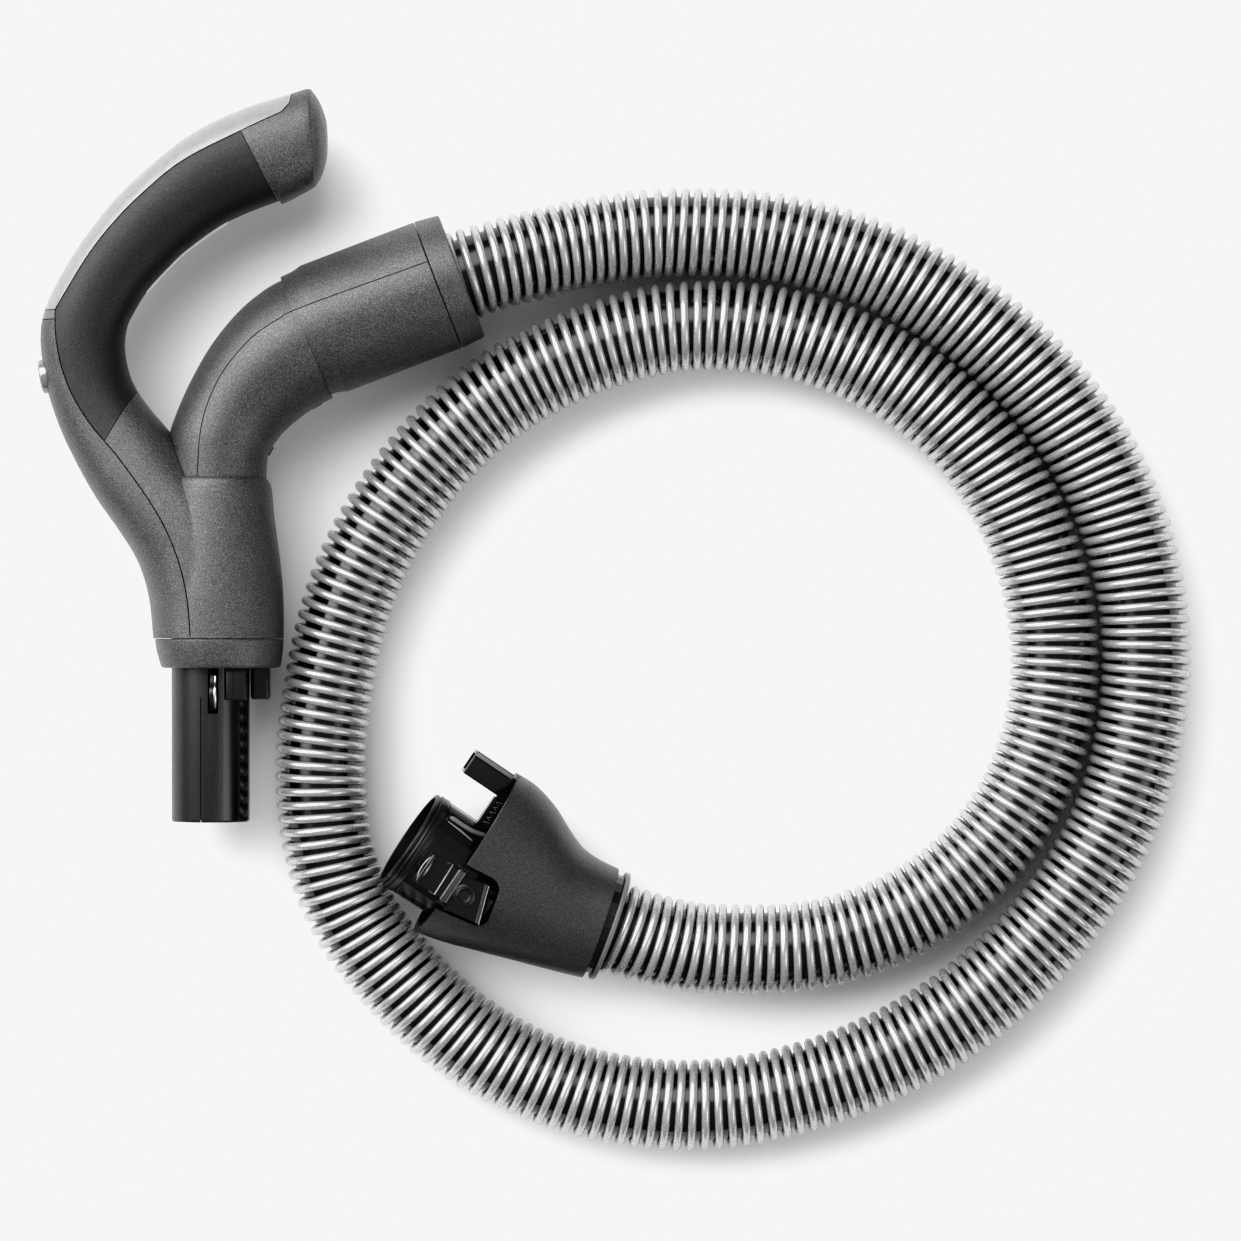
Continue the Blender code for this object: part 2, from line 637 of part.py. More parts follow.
def make_elbow(paint):
    """The two half shells of the elbow and its sleeve, hollow for the air and the hose's cuff."""
    blank = elbow_blank()
    middle = [(-51.0, -4, HANDLE_Z)] + duct_points()[3:]
    duct = tube("elbow_duct", middle, DUCT_RADIUS, CUTTERS, sides=3)
    cuff_space = rod("cuff_space", 27.4, 20, 90, sleeve_frame(), CUTTERS, count=24)
    region = shifted(ELBOW_SEAM, HALF_GAP) + [(80, 170), (-110, 170), (-110, 0)]
    outer = piece_inside("elbow_outer_shell", region, blank, paint["shell"])
    region = shifted(ELBOW_SEAM, -HALF_GAP) + [(110, 40), (0, 0)]
    inner = piece_inside("elbow_inner_shell", region, blank, paint["shell"])
    make_slider(inner, paint)
    for shell in (outer, inner):
        boolean(shell, duct)
        boolean(shell, cuff_space)


def slider_ring(radii, from_angle, to_angle):
    """The section of the slider or of its groove: a strip bent round the elbow's pipe."""
    inner, outer = radii
    points = []
    for radius, turn in ((outer, 1), (inner, -1)):
        angles = [from_angle + (to_angle - from_angle) * i / 5 for i in range(6)][::turn]
        for angle in angles:
            a = math.radians(angle)
            points.append((BEND_TO_PIPE - radius * math.cos(a), -radius * math.sin(a)))
    return points


def swept_about_bend(name, section, start, stop, group, made_of=None, steps=10):
    """A section of distance and height swept about the centre of the bend, between two angles."""
    ovals = []
    for i in range(steps + 1):
        a = math.radians(start + (stop - start) * i / steps)
        out = Vector((math.cos(a), math.sin(a), 0))
        ovals.append([BEND_CENTRE + out * d + Vector((0, 0, h)) for d, h in section])
    return loft(name, ovals, group, made_of)


def make_slider(shell, paint):
    """The slider that lets air in through a hole in the bend, and the groove that it runs in."""
    groove = slider_ring((22.0, 34.0), 16, 70)
    start, stop = SLIDER_FROM - 0.4, SLIDER_TO + SLIDER_TRAVEL + 0.4
    boolean(shell, swept_about_bend("slider_groove", groove, start, stop, CUTTERS, steps=14))
    hole_angle = math.radians(SLIDER_FROM + 5.5)
    out = Vector((math.cos(hole_angle), math.sin(hole_angle), 0))
    slope = math.radians(43)
    to_pipe = (out * math.cos(slope) + Vector((0, 0, math.sin(slope)))).normalized()
    middle = BEND_CENTRE + out * BEND_TO_PIPE
    hole = rod("air_hole", 2.6, -30, -10, frame_at(middle, to_pipe), CUTTERS, count=16)
    boolean(shell, hole)
    strip, raised = slider_ring((22.3, 25.4), 18, 68), slider_ring((23.0, 26.5), 20, 60)
    slider = swept_about_bend("air_slider", strip, SLIDER_FROM, SLIDER_TO, PARTS, paint["black"])
    for i, start in enumerate((SLIDER_FROM, SLIDER_TO - BUMP_LENGTH)):
        stop = start + BUMP_LENGTH
        bump = swept_about_bend(f"slider_bump_{i}", raised, start, stop, CUTTERS, steps=2)
        boolean(slider, bump, "UNION")
    put_origin(slider, BEND_CENTRE)


def make_hose_swivel(paint):
    """The collar that closes the sleeve and the cuff in it that grips the hose; they turn together."""
    length = COLLAR_LENGTH - GAP
    frame = sleeve_frame(SLEEVE_LENGTH + GAP)
    outer = SLEEVE_RADIUS
    outside = ((outer - 1.6, length), (outer - 0.6, length - 1.0), (outer, 1.0), (outer - 0.5, 0))
    inside = ((24.0, 0), (24.0, length - 2.5), (20.9, length - 2.5), (20.9, length))
    collar = turned("swivel_collar", outside + inside, frame, PARTS, paint["shell"])
    put_origin(collar, frame.translation)
    flange = ((23.6, -GAP), (26.8, -GAP), (26.8, -3.6), (23.6, -3.6))
    profile = ((23.6, 7.6), *flange, (23.6, -20.0), (20.65, -20.0), (20.65, 7.6))
    cuff = turned("handle_cuff", profile, frame, PARTS, paint["black"])
    put_origin(cuff, frame.translation)


# ---------------------------------------------------------------------------------------------
# Hose
# ---------------------------------------------------------------------------------------------
def hose_line():
    """Points evenly spaced along a smooth curve through the route."""
    fine = [Vector(row) for row in smooth_rows(HOSE_ROUTE, 12)]
    along = [0.0]
    for one, two in zip(fine, fine[1:]):
        along.append(along[-1] + (two - one).length)
    points, place = [], 0
    for i in range(HOSE_POINTS):
        at = along[-1] * i / (HOSE_POINTS - 1)
        while place < len(along) - 2 and along[place + 1] < at:
            place += 1
        part = (at - along[place]) / (along[place + 1] - along[place])
        points.append(fine[place].lerp(fine[place + 1], part))
    return points


def make_hose(paint):
    tube("hose", hose_line(), HOSE_RADIUS, PARTS, paint["hose"], sides=3)


# ---------------------------------------------------------------------------------------------
# Connector
# ---------------------------------------------------------------------------------------------
def mouth_frame():
    """+Z out of the mouth, +Y up; +X points away from the plug."""
    return frame_at(MOUTH_CENTRE, MOUTH_AXIS)


def housing_ovals(grow, first=0, past_mouth=0.0, steps=STEPS_BETWEEN, power=2.3):
    """Ovals along the connector, leaning from the hose end's direction to the mouth's."""
    rows = smooth_rows(HOUSING[first:], steps)
    up_start = frame_at(RING_CENTRE, HOSE_END_AXIS).col[1].to_3d()
    up_end = mouth_frame().col[1].to_3d()
    made = []
    for i, row in enumerate(rows):
        upper, lower = Vector((row[0], row[1], row[4])), Vector((row[2], row[3], row[4]))
        half = (upper - lower) / 2
        side = half.normalized() * (half.length + grow)
        up = up_start.lerp(up_end, i / (len(rows) - 1)).normalized() * (row[5] + grow)
        made.append(oval((upper + lower) / 2, side, up, power, 20))
    if past_mouth:
        made.append([point + MOUTH_AXIS * past_mouth for point in made[-1]])
    return made


def make_housing(paint):
    housing = loft("connector_housing", housing_ovals(0.0), PARTS, paint["dark_shell"])
    ring = frame_at(RING_CENTRE, HOSE_END_AXIS)
    boolean(housing, rod("hose_bore", 23.4, -4, 24, ring, CUTTERS, count=24))
    boolean(housing, loft("housing_hollow", housing_ovals(-HOUSING_WALL, 1, 12.0), CUTTERS))
    top = prism("notch_top", NOTCH, 44, 80, CUTTERS)
    boolean(housing, top)
    boolean(housing, mirrored(top, "notch_bottom", CUTTERS))
    return housing


def mirrored(thing, name, group, made_of=None):
    """A copy on the other side of the plane through the mouth's axis and its side direction."""
    up = mouth_frame().col[1].to_3d()
    centre = MOUTH_CENTRE * MM
    flip = Matrix.Translation(centre) @ Matrix.Scale(-1, 4, up) @ Matrix.Translation(-centre)
    copy = baked(name, thing, group, made_of)
    copy.data.transform(flip @ copy.matrix_world)
    copy.matrix_world = Matrix()
    copy.data.flip_normals()
    return copy


def make_connector_swivel(paint):
    """The ring at the hose end and the cuff inside the housing, which turn together."""
    frame = frame_at(RING_CENTRE - HOSE_END_AXIS * 3.4, HOSE_END_AXIS)
    profile = ((25.0, 2.2), (25.2, 1.9), (25.2, 0.4), (24.6, 0), (20.9, 0), (20.9, 2.2))
    ring = turned("connector_ring", profile, frame, PARTS, paint["grey"])
    put_origin(ring, frame.translation)
    profile = ((23.0, 27.0), (23.0, 2.5), (20.65, 2.5), (20.65, 27.0))
    cuff = turned("connector_cuff", profile, frame, PARTS, paint["black"])
    put_origin(cuff, frame.translation)


def make_connector_duct(paint):
    """The bent pipe from the cuff to the spigot inside the housing."""
    start = RING_CENTRE + HOSE_END_AXIS * 26.5
    stop = MOUTH_CENTRE - MOUTH_AXIS * 8.6
    bend = (start + HOSE_END_AXIS * 9, stop - MOUTH_AXIS * 9)
    points = [tuple(p) for p in (start, *bend, stop)]
    duct = tube("connector_duct", points, 20.4, PARTS, paint["black"], sides=4)
    reach = [tuple(start - HOSE_END_AXIS * 3), *[tuple(p) for p in bend], tuple(stop + MOUTH_AXIS * 3)]
    boolean(duct, tube("connector_duct_bore", reach, 18.8, CUTTERS, sides=4))


def make_spigot(paint):
    """The tube that enters the machine, with the plate that closes the housing around it."""
    frame = mouth_frame()
    r = SPIGOT_RADIUS
    outside = ((r, 17.4), (r, -3.0), (21.9, -3.0), (21.9, -8.0))
    inside = ((20.2, -8.0), (20.2, -3.0), (21.6, 2.0), (21.6, 17.4))
    profile = outside + inside
    spigot = turned("spigot", profile, frame, PARTS, paint["gloss_black"])
    plate = box("spigot_plate", (-60, -40, -6.4), (40, 40, -4.0), frame, CUTTERS)
    inside = housing_ovals(-HOUSING_WALL - GAP, 1, 2.0)
    boolean(plate, loft("plate_shape", inside, CUTTERS), "INTERSECT")
    boolean(plate, rod("plate_hole", 21.0, -12, 6, frame, CUTTERS, count=24))
    for side, name in ((1, "top"), (-1, "bottom")):
        low, high = sorted((side * 20.6, side * 40))
        space = box(f"pad_space_{name}", (-6, low, -12), (18.5, high, -3), frame, CUTTERS)
        boolean(plate, space)
    boolean(plate, box("plug_seat", (-47.5, -5.3, -12), (-39.0, 5.3, 6), frame, CUTTERS))
    boolean(spigot, plate, "UNION")
    boolean(spigot, box("guide_web", (-37.0, -3, -5.0), (-22.6, 3, 3.2), frame, CUTTERS), "UNION")
    for side, name in ((1, "top"), (-1, "bottom")):
        for edge in (-1, 1):
            middle = -LATCH_SIDE + edge * (LATCH_HALF_WIDTH + 1.0)
            low, high = sorted((side * 17.0, side * 27.6))
            corners = (middle - 0.7, low, -2.8), (middle + 0.7, high, 1.4)
            boolean(spigot, box(f"lug_{name}_{edge + 1}", *corners, frame, CUTTERS), "UNION")
        pin = pin_frame(side)
        boolean(spigot, rod(f"pin_hole_{name}", 1.35, -12, 12, pin, CUTTERS, count=12))
    boolean(spigot, rod("spigot_bore", 20.2, -14, 3, frame, CUTTERS, count=24))
    seal = ((24.0, 24.8), (24.1, 18.6), (23.6, 17.7), (21.6, 17.7), (21.6, 24.8))
    turned("mouth_seal", seal, frame, PARTS, paint["rubber"])


def pin_frame(side):
    """+Z along a latch's pin, from its middle."""
    frame = mouth_frame()
    centre = frame @ Vector((-LATCH_SIDE, side * 25.9, -0.8))
    return frame_at(centre, frame.col[0].to_3d())


def make_latch(paint):
    """The rocking latches above and below the spigot, their pins, buttons and springs."""
    frame = mouth_frame()
    up = frame.col[1].to_3d()
    ovals = []
    for height in (23.9, 26.6):
        ovals.append([frame @ Vector((p.x, height, p.z)) for p in flat_on(frame, PAD, height)])
    latch = loft("latch_top", ovals, PARTS, paint["dark_shell"])
    low, high = -LATCH_SIDE - LATCH_HALF_WIDTH, -LATCH_SIDE + LATCH_HALF_WIDTH
    boss = box("latch_boss", (low, 23.9, -2.6), (high, 28.2, 1.0), frame, CUTTERS)
    arm = box("latch_arm", (low + 0.5, 24.5, 0.5), (high - 0.5, 26.2, 15.6), frame, CUTTERS)
    hook = box("latch_hook", (low + 0.7, 25.0, 12.4), (high - 0.7, 29.0, 15.8), frame, CUTTERS)
    for more in (boss, arm, hook):
        boolean(latch, more, "UNION")
    rear = flat_on(frame, PAD[1:3], 26.6)
    ovals = []
    for height in (26.0, 28.4):
        corners = ((rear[0], 0.3), (rear[1], 0.3), (rear[1], 2.6), (rear[0], 2.6))
        ovals.append([frame @ Vector((p.x, height, p.z + ahead)) for p, ahead in corners])
    boolean(latch, loft("latch_grip", ovals, CUTTERS), "UNION")
    boolean(latch, rod("latch_bore", 1.35, -12, 12, pin_frame(1), CUTTERS, count=12))
    boolean(latch, box("lug_space", (high, 20, -3.2), (high + 6, 30, 3.0), frame, CUTTERS))
    pin = rod("latch_pin_top", 1.05, -9.6, 9.6, pin_frame(1), PARTS, paint["steel"], count=12)
    seat = frame_at(frame @ Vector((6.2, 26.6, -7.4)), up)
    profile = ((0, 0.8), (2.5, 0.8), (2.7, 1.4), (4.2, 1.4), (4.4, 1.1), (4.4, GAP), (0, GAP))
    button = turned("latch_button_top", profile, seat, PARTS, paint["dark_shell"], 20, closed=False)
    spring_rows = ((-8.0, 22.3), (-12.0, 21.9), (-17.0, 22.0), (-20.5, 22.8))
    ovals = []
    for along, height in spring_rows:
        corners = ((1.5, -0.2), (9.0, -0.2), (9.0, 0.2), (1.5, 0.2))
        ovals.append([frame @ Vector((x, height + h, along)) for x, h in corners])
    spring = loft("latch_spring_top", ovals, PARTS, paint["steel"])
    low_pivot = pin_frame(-1).translation
    lower = (
        (latch, "latch_bottom", "dark_shell"),
        (pin, "latch_pin_bottom", "steel"),
        (button, "latch_button_bottom", "dark_shell"),
        (spring, "latch_spring_bottom", "steel"),
    )
    for thing, name, slot in lower:
        copy = mirrored(thing, name, PARTS, paint[slot])
        put_origin(copy, low_pivot)
    for thing in (latch, button):
        put_origin(thing, pin_frame(1).translation)


def flat_on(frame, outline, height):
    """An outline from above, dropped onto the plane at that height of the frame."""
    made = []
    up = frame.col[1].to_3d()
    level = (frame.translation + up * height).dot(up)
    for x, y in outline:
        z = (level - up.x * x - up.y * y) / up.z
        made.append(frame.inverted() @ Vector((x, y, z)))
    return made


def make_plug(paint):
    """The electrical plug beside the spigot, with its contacts."""
    frame = mouth_frame()
    peg = box("plug_peg", (-49.9, -7, 0.4), (-38.1, 7, 21.4), frame, PARTS, paint["gloss_black"])
    boolean(peg, box("plug_tenon", (-47.2, -5, -9), (-39.3, 5, 1), frame, CUTTERS), "UNION")
    boolean(peg, box("plug_socket", (-48.2, -5.3, 11.5), (-39.8, 5.3, 23), frame, CUTTERS))
    for i, height in enumerate((-3.4, 0.0, 3.4)):
        pin = frame_at(frame @ Vector((-44.0, height, 11.8)), MOUTH_AXIS)
        rod(f"plug_pin_{i + 1}", 0.8, 0, 7.5, pin, PARTS, paint["brass"], count=10)


def paints():
    return {
        "shell": material("shell", (0.13, 0.13, 0.135), 0.5),
        "dark_shell": material("dark_shell", (0.06, 0.06, 0.065), 0.5),
        "grip": material("grip", (0.025, 0.025, 0.027), 0.7),
        "silver": material("silver", (0.8, 0.8, 0.8), 0.3),
        "grey": material("grey", (0.2, 0.2, 0.2), 0.45),
        "gloss": material("gloss", (0.35, 0.35, 0.36), 0.25, 0.4),
        "black": material("black", (0.015, 0.015, 0.016), 0.4),
        "gloss_black": material("gloss_black", (0.01, 0.01, 0.011), 0.2),
        "rubber": material("rubber", (0.02, 0.02, 0.02), 0.6),
        "steel": material("steel", (0.6, 0.6, 0.6), 0.3, 1.0),
        "brass": material("brass", (0.7, 0.55, 0.25), 0.3, 1.0),
        "board": material("board", (0.02, 0.12, 0.05), 0.5),
        "hose": material("hose", (0.45, 0.45, 0.46), 0.35, 0.3),
    }


clear_scene()
PARTS = collection("vacuum_hose")
CUTTERS = collection("cutters")
PAINT = paints()
BODY, COVER = make_handle(PAINT)
make_button(COVER, BODY, PAINT)
make_wand_end(PAINT)
make_elbow(PAINT)
make_hose_swivel(PAINT)
make_hose(PAINT)
make_housing(PAINT)
make_connector_swivel(PAINT)
make_connector_duct(PAINT)
make_spigot(PAINT)
make_latch(PAINT)
make_plug(PAINT)
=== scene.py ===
"""Looks of the vacuum hose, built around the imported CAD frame.

Fine surfaces are made in millimetres in the row's frame and scaled to metres. They repeat the outlines
of part.py with more points, and add what a coarse solid leaves out: the hose's ribs, seams, lips and grain.
"""
import json
import math

import bmesh
import bpy
from mathutils import Matrix, Vector

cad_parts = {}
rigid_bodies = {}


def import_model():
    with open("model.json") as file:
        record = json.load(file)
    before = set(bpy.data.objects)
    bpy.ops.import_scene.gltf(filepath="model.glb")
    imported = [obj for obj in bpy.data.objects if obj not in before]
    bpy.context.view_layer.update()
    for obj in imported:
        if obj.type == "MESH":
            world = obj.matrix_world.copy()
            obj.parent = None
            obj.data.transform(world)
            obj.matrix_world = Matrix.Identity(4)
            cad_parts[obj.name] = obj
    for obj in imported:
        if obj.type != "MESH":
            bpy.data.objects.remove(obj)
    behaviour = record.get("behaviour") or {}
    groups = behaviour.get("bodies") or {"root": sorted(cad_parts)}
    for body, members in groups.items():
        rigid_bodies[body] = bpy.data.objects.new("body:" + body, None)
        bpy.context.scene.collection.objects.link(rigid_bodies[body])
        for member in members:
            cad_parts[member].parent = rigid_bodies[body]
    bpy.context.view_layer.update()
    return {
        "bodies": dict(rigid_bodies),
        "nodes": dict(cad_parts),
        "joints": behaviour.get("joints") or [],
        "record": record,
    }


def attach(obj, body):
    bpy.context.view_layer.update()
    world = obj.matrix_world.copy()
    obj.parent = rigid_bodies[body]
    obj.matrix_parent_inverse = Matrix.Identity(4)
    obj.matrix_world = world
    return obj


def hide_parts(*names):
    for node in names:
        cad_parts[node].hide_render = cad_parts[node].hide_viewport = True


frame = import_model()

MM = 0.001
GAP = 0.3  # between parts that fit together
HALF_SEAM = 0.2  # half the width of the seams in the handle
HALF_JOINT = 0.1  # half the width where the grip meets the cap and the body
HALF_ELBOW_SEAM = 0.12

# How finely round shapes are divided
AROUND = 88
STEPS_BETWEEN = 7
TURN_STEPS = 96
SEAM_STEPS = 6

# Camera, in metres
VIEW_CENTRE = (0.1293, -0.0384)
VIEW_WIDTH = 0.5585
VIEW_PLANE = 0.0205
CAMERA_DISTANCE = 2.75
SENSOR = 36.0

# The sky's brightness at the horizon and overhead.
SKY_HORIZON = 0.16
SKY_ABOVE = 0.52
# Each soft light of the studio: its azimuth and distance from the zenith in degrees, its brightness, and
# the angles from its middle where it starts to fade and where it ends.
SOFT_LIGHTS = (
    (150, 53, 5.6, 12, 34),
    (105, 37, 3.8, 12, 30),
    (-28, 52, 2.4, 8, 24),
)
# How the picture's linear grey becomes its tone: deeper blacks, and whites that level off.
TONE = ((0.0, 0.0), (0.02, 0.006), (0.06, 0.035), (0.12, 0.1), (0.25, 0.26), (0.5, 0.56), (0.82, 0.88),
        (0.93, 0.92), (1.0, 0.92))
FLOOR_SIZE = 6000
FLOOR_DROP = 0.0001

# Sizes and outlines, as in part.py
WAND_RADIUS = 17.5
HANDLE_Z = 30.25
DUCT_RADIUS = 15.6
SLEEVE_RADIUS = 30.1
HANDLE_SQUARENESS = 2.3  # 2 is an ellipse, more is nearer to a rectangle
SOCKET_SQUARENESS = 2.15
COLLAR_SQUARENESS = 2.2
# Each row of an outline has its outer and inner edge from above, and half its height where it isn't round.
HANDLE = (
    (-18.0, 198.0, -22.0, 148.5, 18.5),
    (-41.5, 190.5, -24.5, 149.5, 18.6),
    (-66.0, 178.0, -46.5, 140.5, 18.2),
    (-89.5, 158.5, -64.5, 128.0, 17.6),
    (-102.5, 144.5, -75.0, 118.0, 17.2),
    (-114.0, 129.0, -83.5, 108.5, 17.0),
    (-123.0, 114.0, -89.0, 99.5, 17.0),
    (-129.0, 100.5, -92.0, 93.0, 17.2),
    (-130.8, 88.0, -93.0, 84.0, 17.4),
    (-129.3, 74.0, -91.5, 74.5, 17.6),
    (-127.0, 62.5, -88.5, 66.5, 18.0),
    (-122.0, 48.0, -82.0, 57.0, 19.0),
    (-115.5, 34.0, -73.0, 46.5, 20.6),
    (-106.0, 17.0, -61.0, 31.0, 23.0),
    (-95.5, 2.0, -45.0, 15.0, 25.2),
    (-87.0, -12.0, -31.0, -5.0, 26.8),
    (-82.0, -28.5, -25.0, -27.0, 27.5),
    (-80.0, -49.0, -24.0, -49.0, 27.8),
)
CAP_NOSE = (
    (-10.6, 200.0, -9.6, 155.0, 18.0),
    (-8.2, 198.2, -6.8, 157.4, 16.4),
    (-5.2, 193.5, -4.2, 162.4, 13.4),
    (-2.7, 186.5, -2.5, 169.0, 8.6),
    (-2.3, 182.0, -2.3, 173.5, 4.0),
)
SOCKET = (
    (-79.6, -49.0, -21.8, -49.0, 29.0),
    (-80.5, -28.0, -21.9, -28.0, 28.8),
    (-79.0, -11.5, -23.3, -11.5, 28.0),
    (-76.0, 8.0, -25.9, 8.0, 26.8),
    (-74.5, 20.5, -27.0, 19.5, 26.0),
    (-73.3, 24.6, -28.2, 23.5, 25.3),
    (-72.3, 26.3, -29.4, 25.1, 23.9),
)
ELBOW = (
    (-73.0, 8.0, -29.0, 8.0),
    (-73.5, 26.0, -29.5, 23.5),
    (-73.0, 43.5, -29.0, 34.5),
    (-70.0, 54.0, -27.3, 38.3),
    (-63.0, 69.7, -24.3, 43.3),
    (-53.5, 86.0, -19.5, 48.2),
    (-41.5, 100.5, -12.5, 54.0),
    (-29.5, 110.3, -5.3, 58.5),
    (-20.8, 115.0, 0.0, 61.3),
)
SLEEVE_START = Vector((-5.0, 92.0, HANDLE_Z))
SLEEVE_AXIS = Vector((0.934, 0.357, 0)).normalized()
SLEEVE_LENGTH = 56.0
COLLAR_LENGTH = 11.6
STRIP_EDGE = ((-18.5, 192.5), (-22.0, 188.5), (-40.0, 180.0), (-65.5, 167.0), (-82.5, 153.5), (-97.0, 139.0),
              (-109.0, 123.5), (-123.0, 100.5))
COVER_SEAM = ((-123.0, 96.0), (-122.5, 87.5), (-120.0, 75.0), (-115.0, 62.0), (-107.5, 50.0), (-100.5, 41.5),
              (-94.5, 34.5), (-82.0, 17.5), (-73.0, 2.5), (-66.5, -14.0), (-63.0, -30.5), (-61.5, -50.0))
NECK_JOINT = 5
NECK_END = (-81.0, 74.0)
CAP_LINE_END = (-19.5, 139.5)
ELBOW_SEAM = ((-60.0, 0.0), (-59.0, 28.5), (-57.5, 46.5), (-53.5, 61.0), (-46.5, 74.0), (-34.5, 87.5),
              (-22.0, 96.0), (-11.5, 101.0), (44.0, 121.0), (80.0, 134.0))
INLAY_ROWS = slice(2, 6)
COLLAR_TOP = -46.7
COLLAR_BOTTOM = -59.6
WAND_X = -54.5
WAND_TOP = -22.0
WAND_END = -128.5
WAND_WALL = 2.0
SATIN_TO_X = -47.5  # the wand tube is satin up to here and glossy beyond
DIMPLES = 6
DIMPLE_PITCH = 6.4
DIMPLE_SIDE = 13.0  # from the middle of the tube
CATCH_X = -52.2
BUTTON_CENTRE = Vector((-129.3, 71.0, HANDLE_Z))
BUTTON_IN = Vector((0.985, 0.172, 0)).normalized()
BUTTON_RADIUS = 7.8
BEND_CENTRE = Vector((19.7, 9.8, HANDLE_Z))
BEND_TO_PIPE = 79.8
SLIDER_FROM, SLIDER_TO = 117.0, 152.0
SLIDER_TRAVEL = 8.0
SLIDER_BUMP = 4.5

HOSE_REST_Z = 20.5
HOSE_LEAVES = (
    (36.6, 107.9, 30.25), (47.7, 112.15, 30.25), (58.8, 116.35, 30.2), (70.0, 120.2, 29.7),
    (88.0, 125.2, 27.6), (108.0, 130.4, 24.4), (131.0, 134.3, 21.8), (155.0, 136.3, 20.6),
)
# The two turns that lie on the floor, from above.
HOSE_TURNS = (
    (202.2, 133.5), (248.9, 119.7), (290.2, 94.6), (325.0, 60.4), (350.3, 18.8), (363.6, -28.0),
    (364.5, -76.5), (353.2, -124.2), (329.2, -166.9), (296.5, -202.9), (257.0, -230.1),
    (211.8, -248.4), (163.5, -256.4), (115.3, -251.3), (70.5, -233.0), (32.6, -202.0),
    (4.9, -163.1), (-5.3, -115.4), (-1.5, -66.5), (10.5, -20.0), (34.0, 22.0), (67.0, 57.0),
    (108.5, 81.0), (155.0, 93.6), (203.0, 91.0), (248.0, 74.0), (285.5, 44.5), (311.5, 4.5),
    (323.8, -42.0), (320.5, -90.0), (300.0, -133.5), (264.5, -166.0), (219.5, -183.5),
)
HOSE_ARRIVES = (
    (174.0, -186.0, 21.2), (148.0, -182.6, 23.0), (124.3, -175.6, 25.3), (113.0, -171.6, 26.1),
    (101.8, -167.6, 26.9),
)
HOSE_ROUTE = HOSE_LEAVES + tuple((x, y, HOSE_REST_Z) for x, y in HOSE_TURNS) + HOSE_ARRIVES
HOSE_STEPS = 920
ROUTE_STEPS = 24  # between two points of the route
CORE_RADIUS = 16.3
CORE_SIDES = 28
RIB_PITCH = 5.75
RIB_RADIUS = 1.95
RIB_OUTSIDE = 20.6
RIB_STEPS = 44  # straight pieces in one turn of the rib
RIB_SIDES = 10
RIB_PIECES = 2

HOUSING = (
    (128.3, -149.9, 111.6, -198.6, 25.6, 25.2),
    (119.5, -145.5, 102.0, -196.3, 26.4, 25.6),
    (112.5, -140.3, 90.0, -193.1, 27.4, 26.2),
    (106.5, -132.0, 77.0, -189.6, 28.7, 27.0),
    (100.0, -121.5, 62.5, -185.7, 30.4, 28.0),
    (91.8, -112.4, 48.5, -181.8, 32.2, 29.0),
    (83.4, -107.0, 37.0, -177.4, 33.9, 29.6),
)
RING_CENTRE = Vector((122.3, -174.9, 25.4))
HOSE_END_AXIS = Vector((-0.938, 0.334, 0.07)).normalized()
MOUTH_CENTRE = Vector((54.7, -149.4, 34.0))
MOUTH_TILT = math.radians(6.5)
MOUTH_AXIS = Vector((-0.829 * math.cos(MOUTH_TILT), 0.559 * math.cos(MOUTH_TILT), math.sin(MOUTH_TILT)))
HOUSING_WALL = 2.6
HOUSING_SIDES = 80
NOTCH_CORNER = 2.5
LATCH_SIDE = -5.6
LATCH_HALF_WIDTH = 8.2
NOTCH = ((62.4, -147.4), (74.2, -153.6), (75.8, -158.0), (70.0, -172.8), (65.8, -174.6), (47.5, -166.4),
         (41.5, -162.4), (55.6, -142.4))
PAD = ((57.6, -151.4), (69.6, -155.4), (65.0, -172.6), (48.6, -165.4))
LATCH_BOTTOM, LATCH_TOP = 23.9, 26.6  # heights of the pad above the mouth's axis
PIN_HEIGHT = 25.9
# The painted glints along the web to the plug: how many, and their spacing.
WEB_GLINTS = 5
GLINT_PITCH = 2.6


# ---- Mesh tools ----
def mesh_object(name, bm, paint=None, sharp=32):
    """A bmesh in millimetres as an object in metres."""
    bmesh.ops.scale(bm, vec=(MM, MM, MM), verts=bm.verts)
    bmesh.ops.recalc_face_normals(bm, faces=bm.faces)
    mesh = bpy.data.meshes.new(name)
    bm.to_mesh(mesh)
    bm.free()
    finish_mesh(mesh, paint, sharp)
    thing = bpy.data.objects.new(name, mesh)
    bpy.context.scene.collection.objects.link(thing)
    return thing


def finish_mesh(mesh, paint, sharp):
    """Smooth shading but for edges sharper than that angle, and one material."""
    mesh.shade_smooth()
    mesh.set_sharp_from_angle(angle=math.radians(sharp))
    if paint:
        mesh.materials.clear()
        mesh.materials.append(paint)


def smooth_rows(rows, steps):
    """Rows of numbers with more rows between them, on a Catmull-Rom curve through them."""
    made = []
    last = len(rows) - 1
    for i in range(last):
        before, here, there, after = rows[max(i - 1, 0)], rows[i], rows[i + 1], rows[min(i + 2, last)]
        for step in range(steps):
            t = step / steps
            made.append([
                0.5 * (2 * b + (c - a) * t + (2 * a - 5 * b + 4 * c - d) * t * t
                       + (3 * b - a - 3 * c + d) * t * t * t)
                for a, b, c, d in zip(before, here, there, after)
            ])
    made.append(list(rows[-1]))
    return made


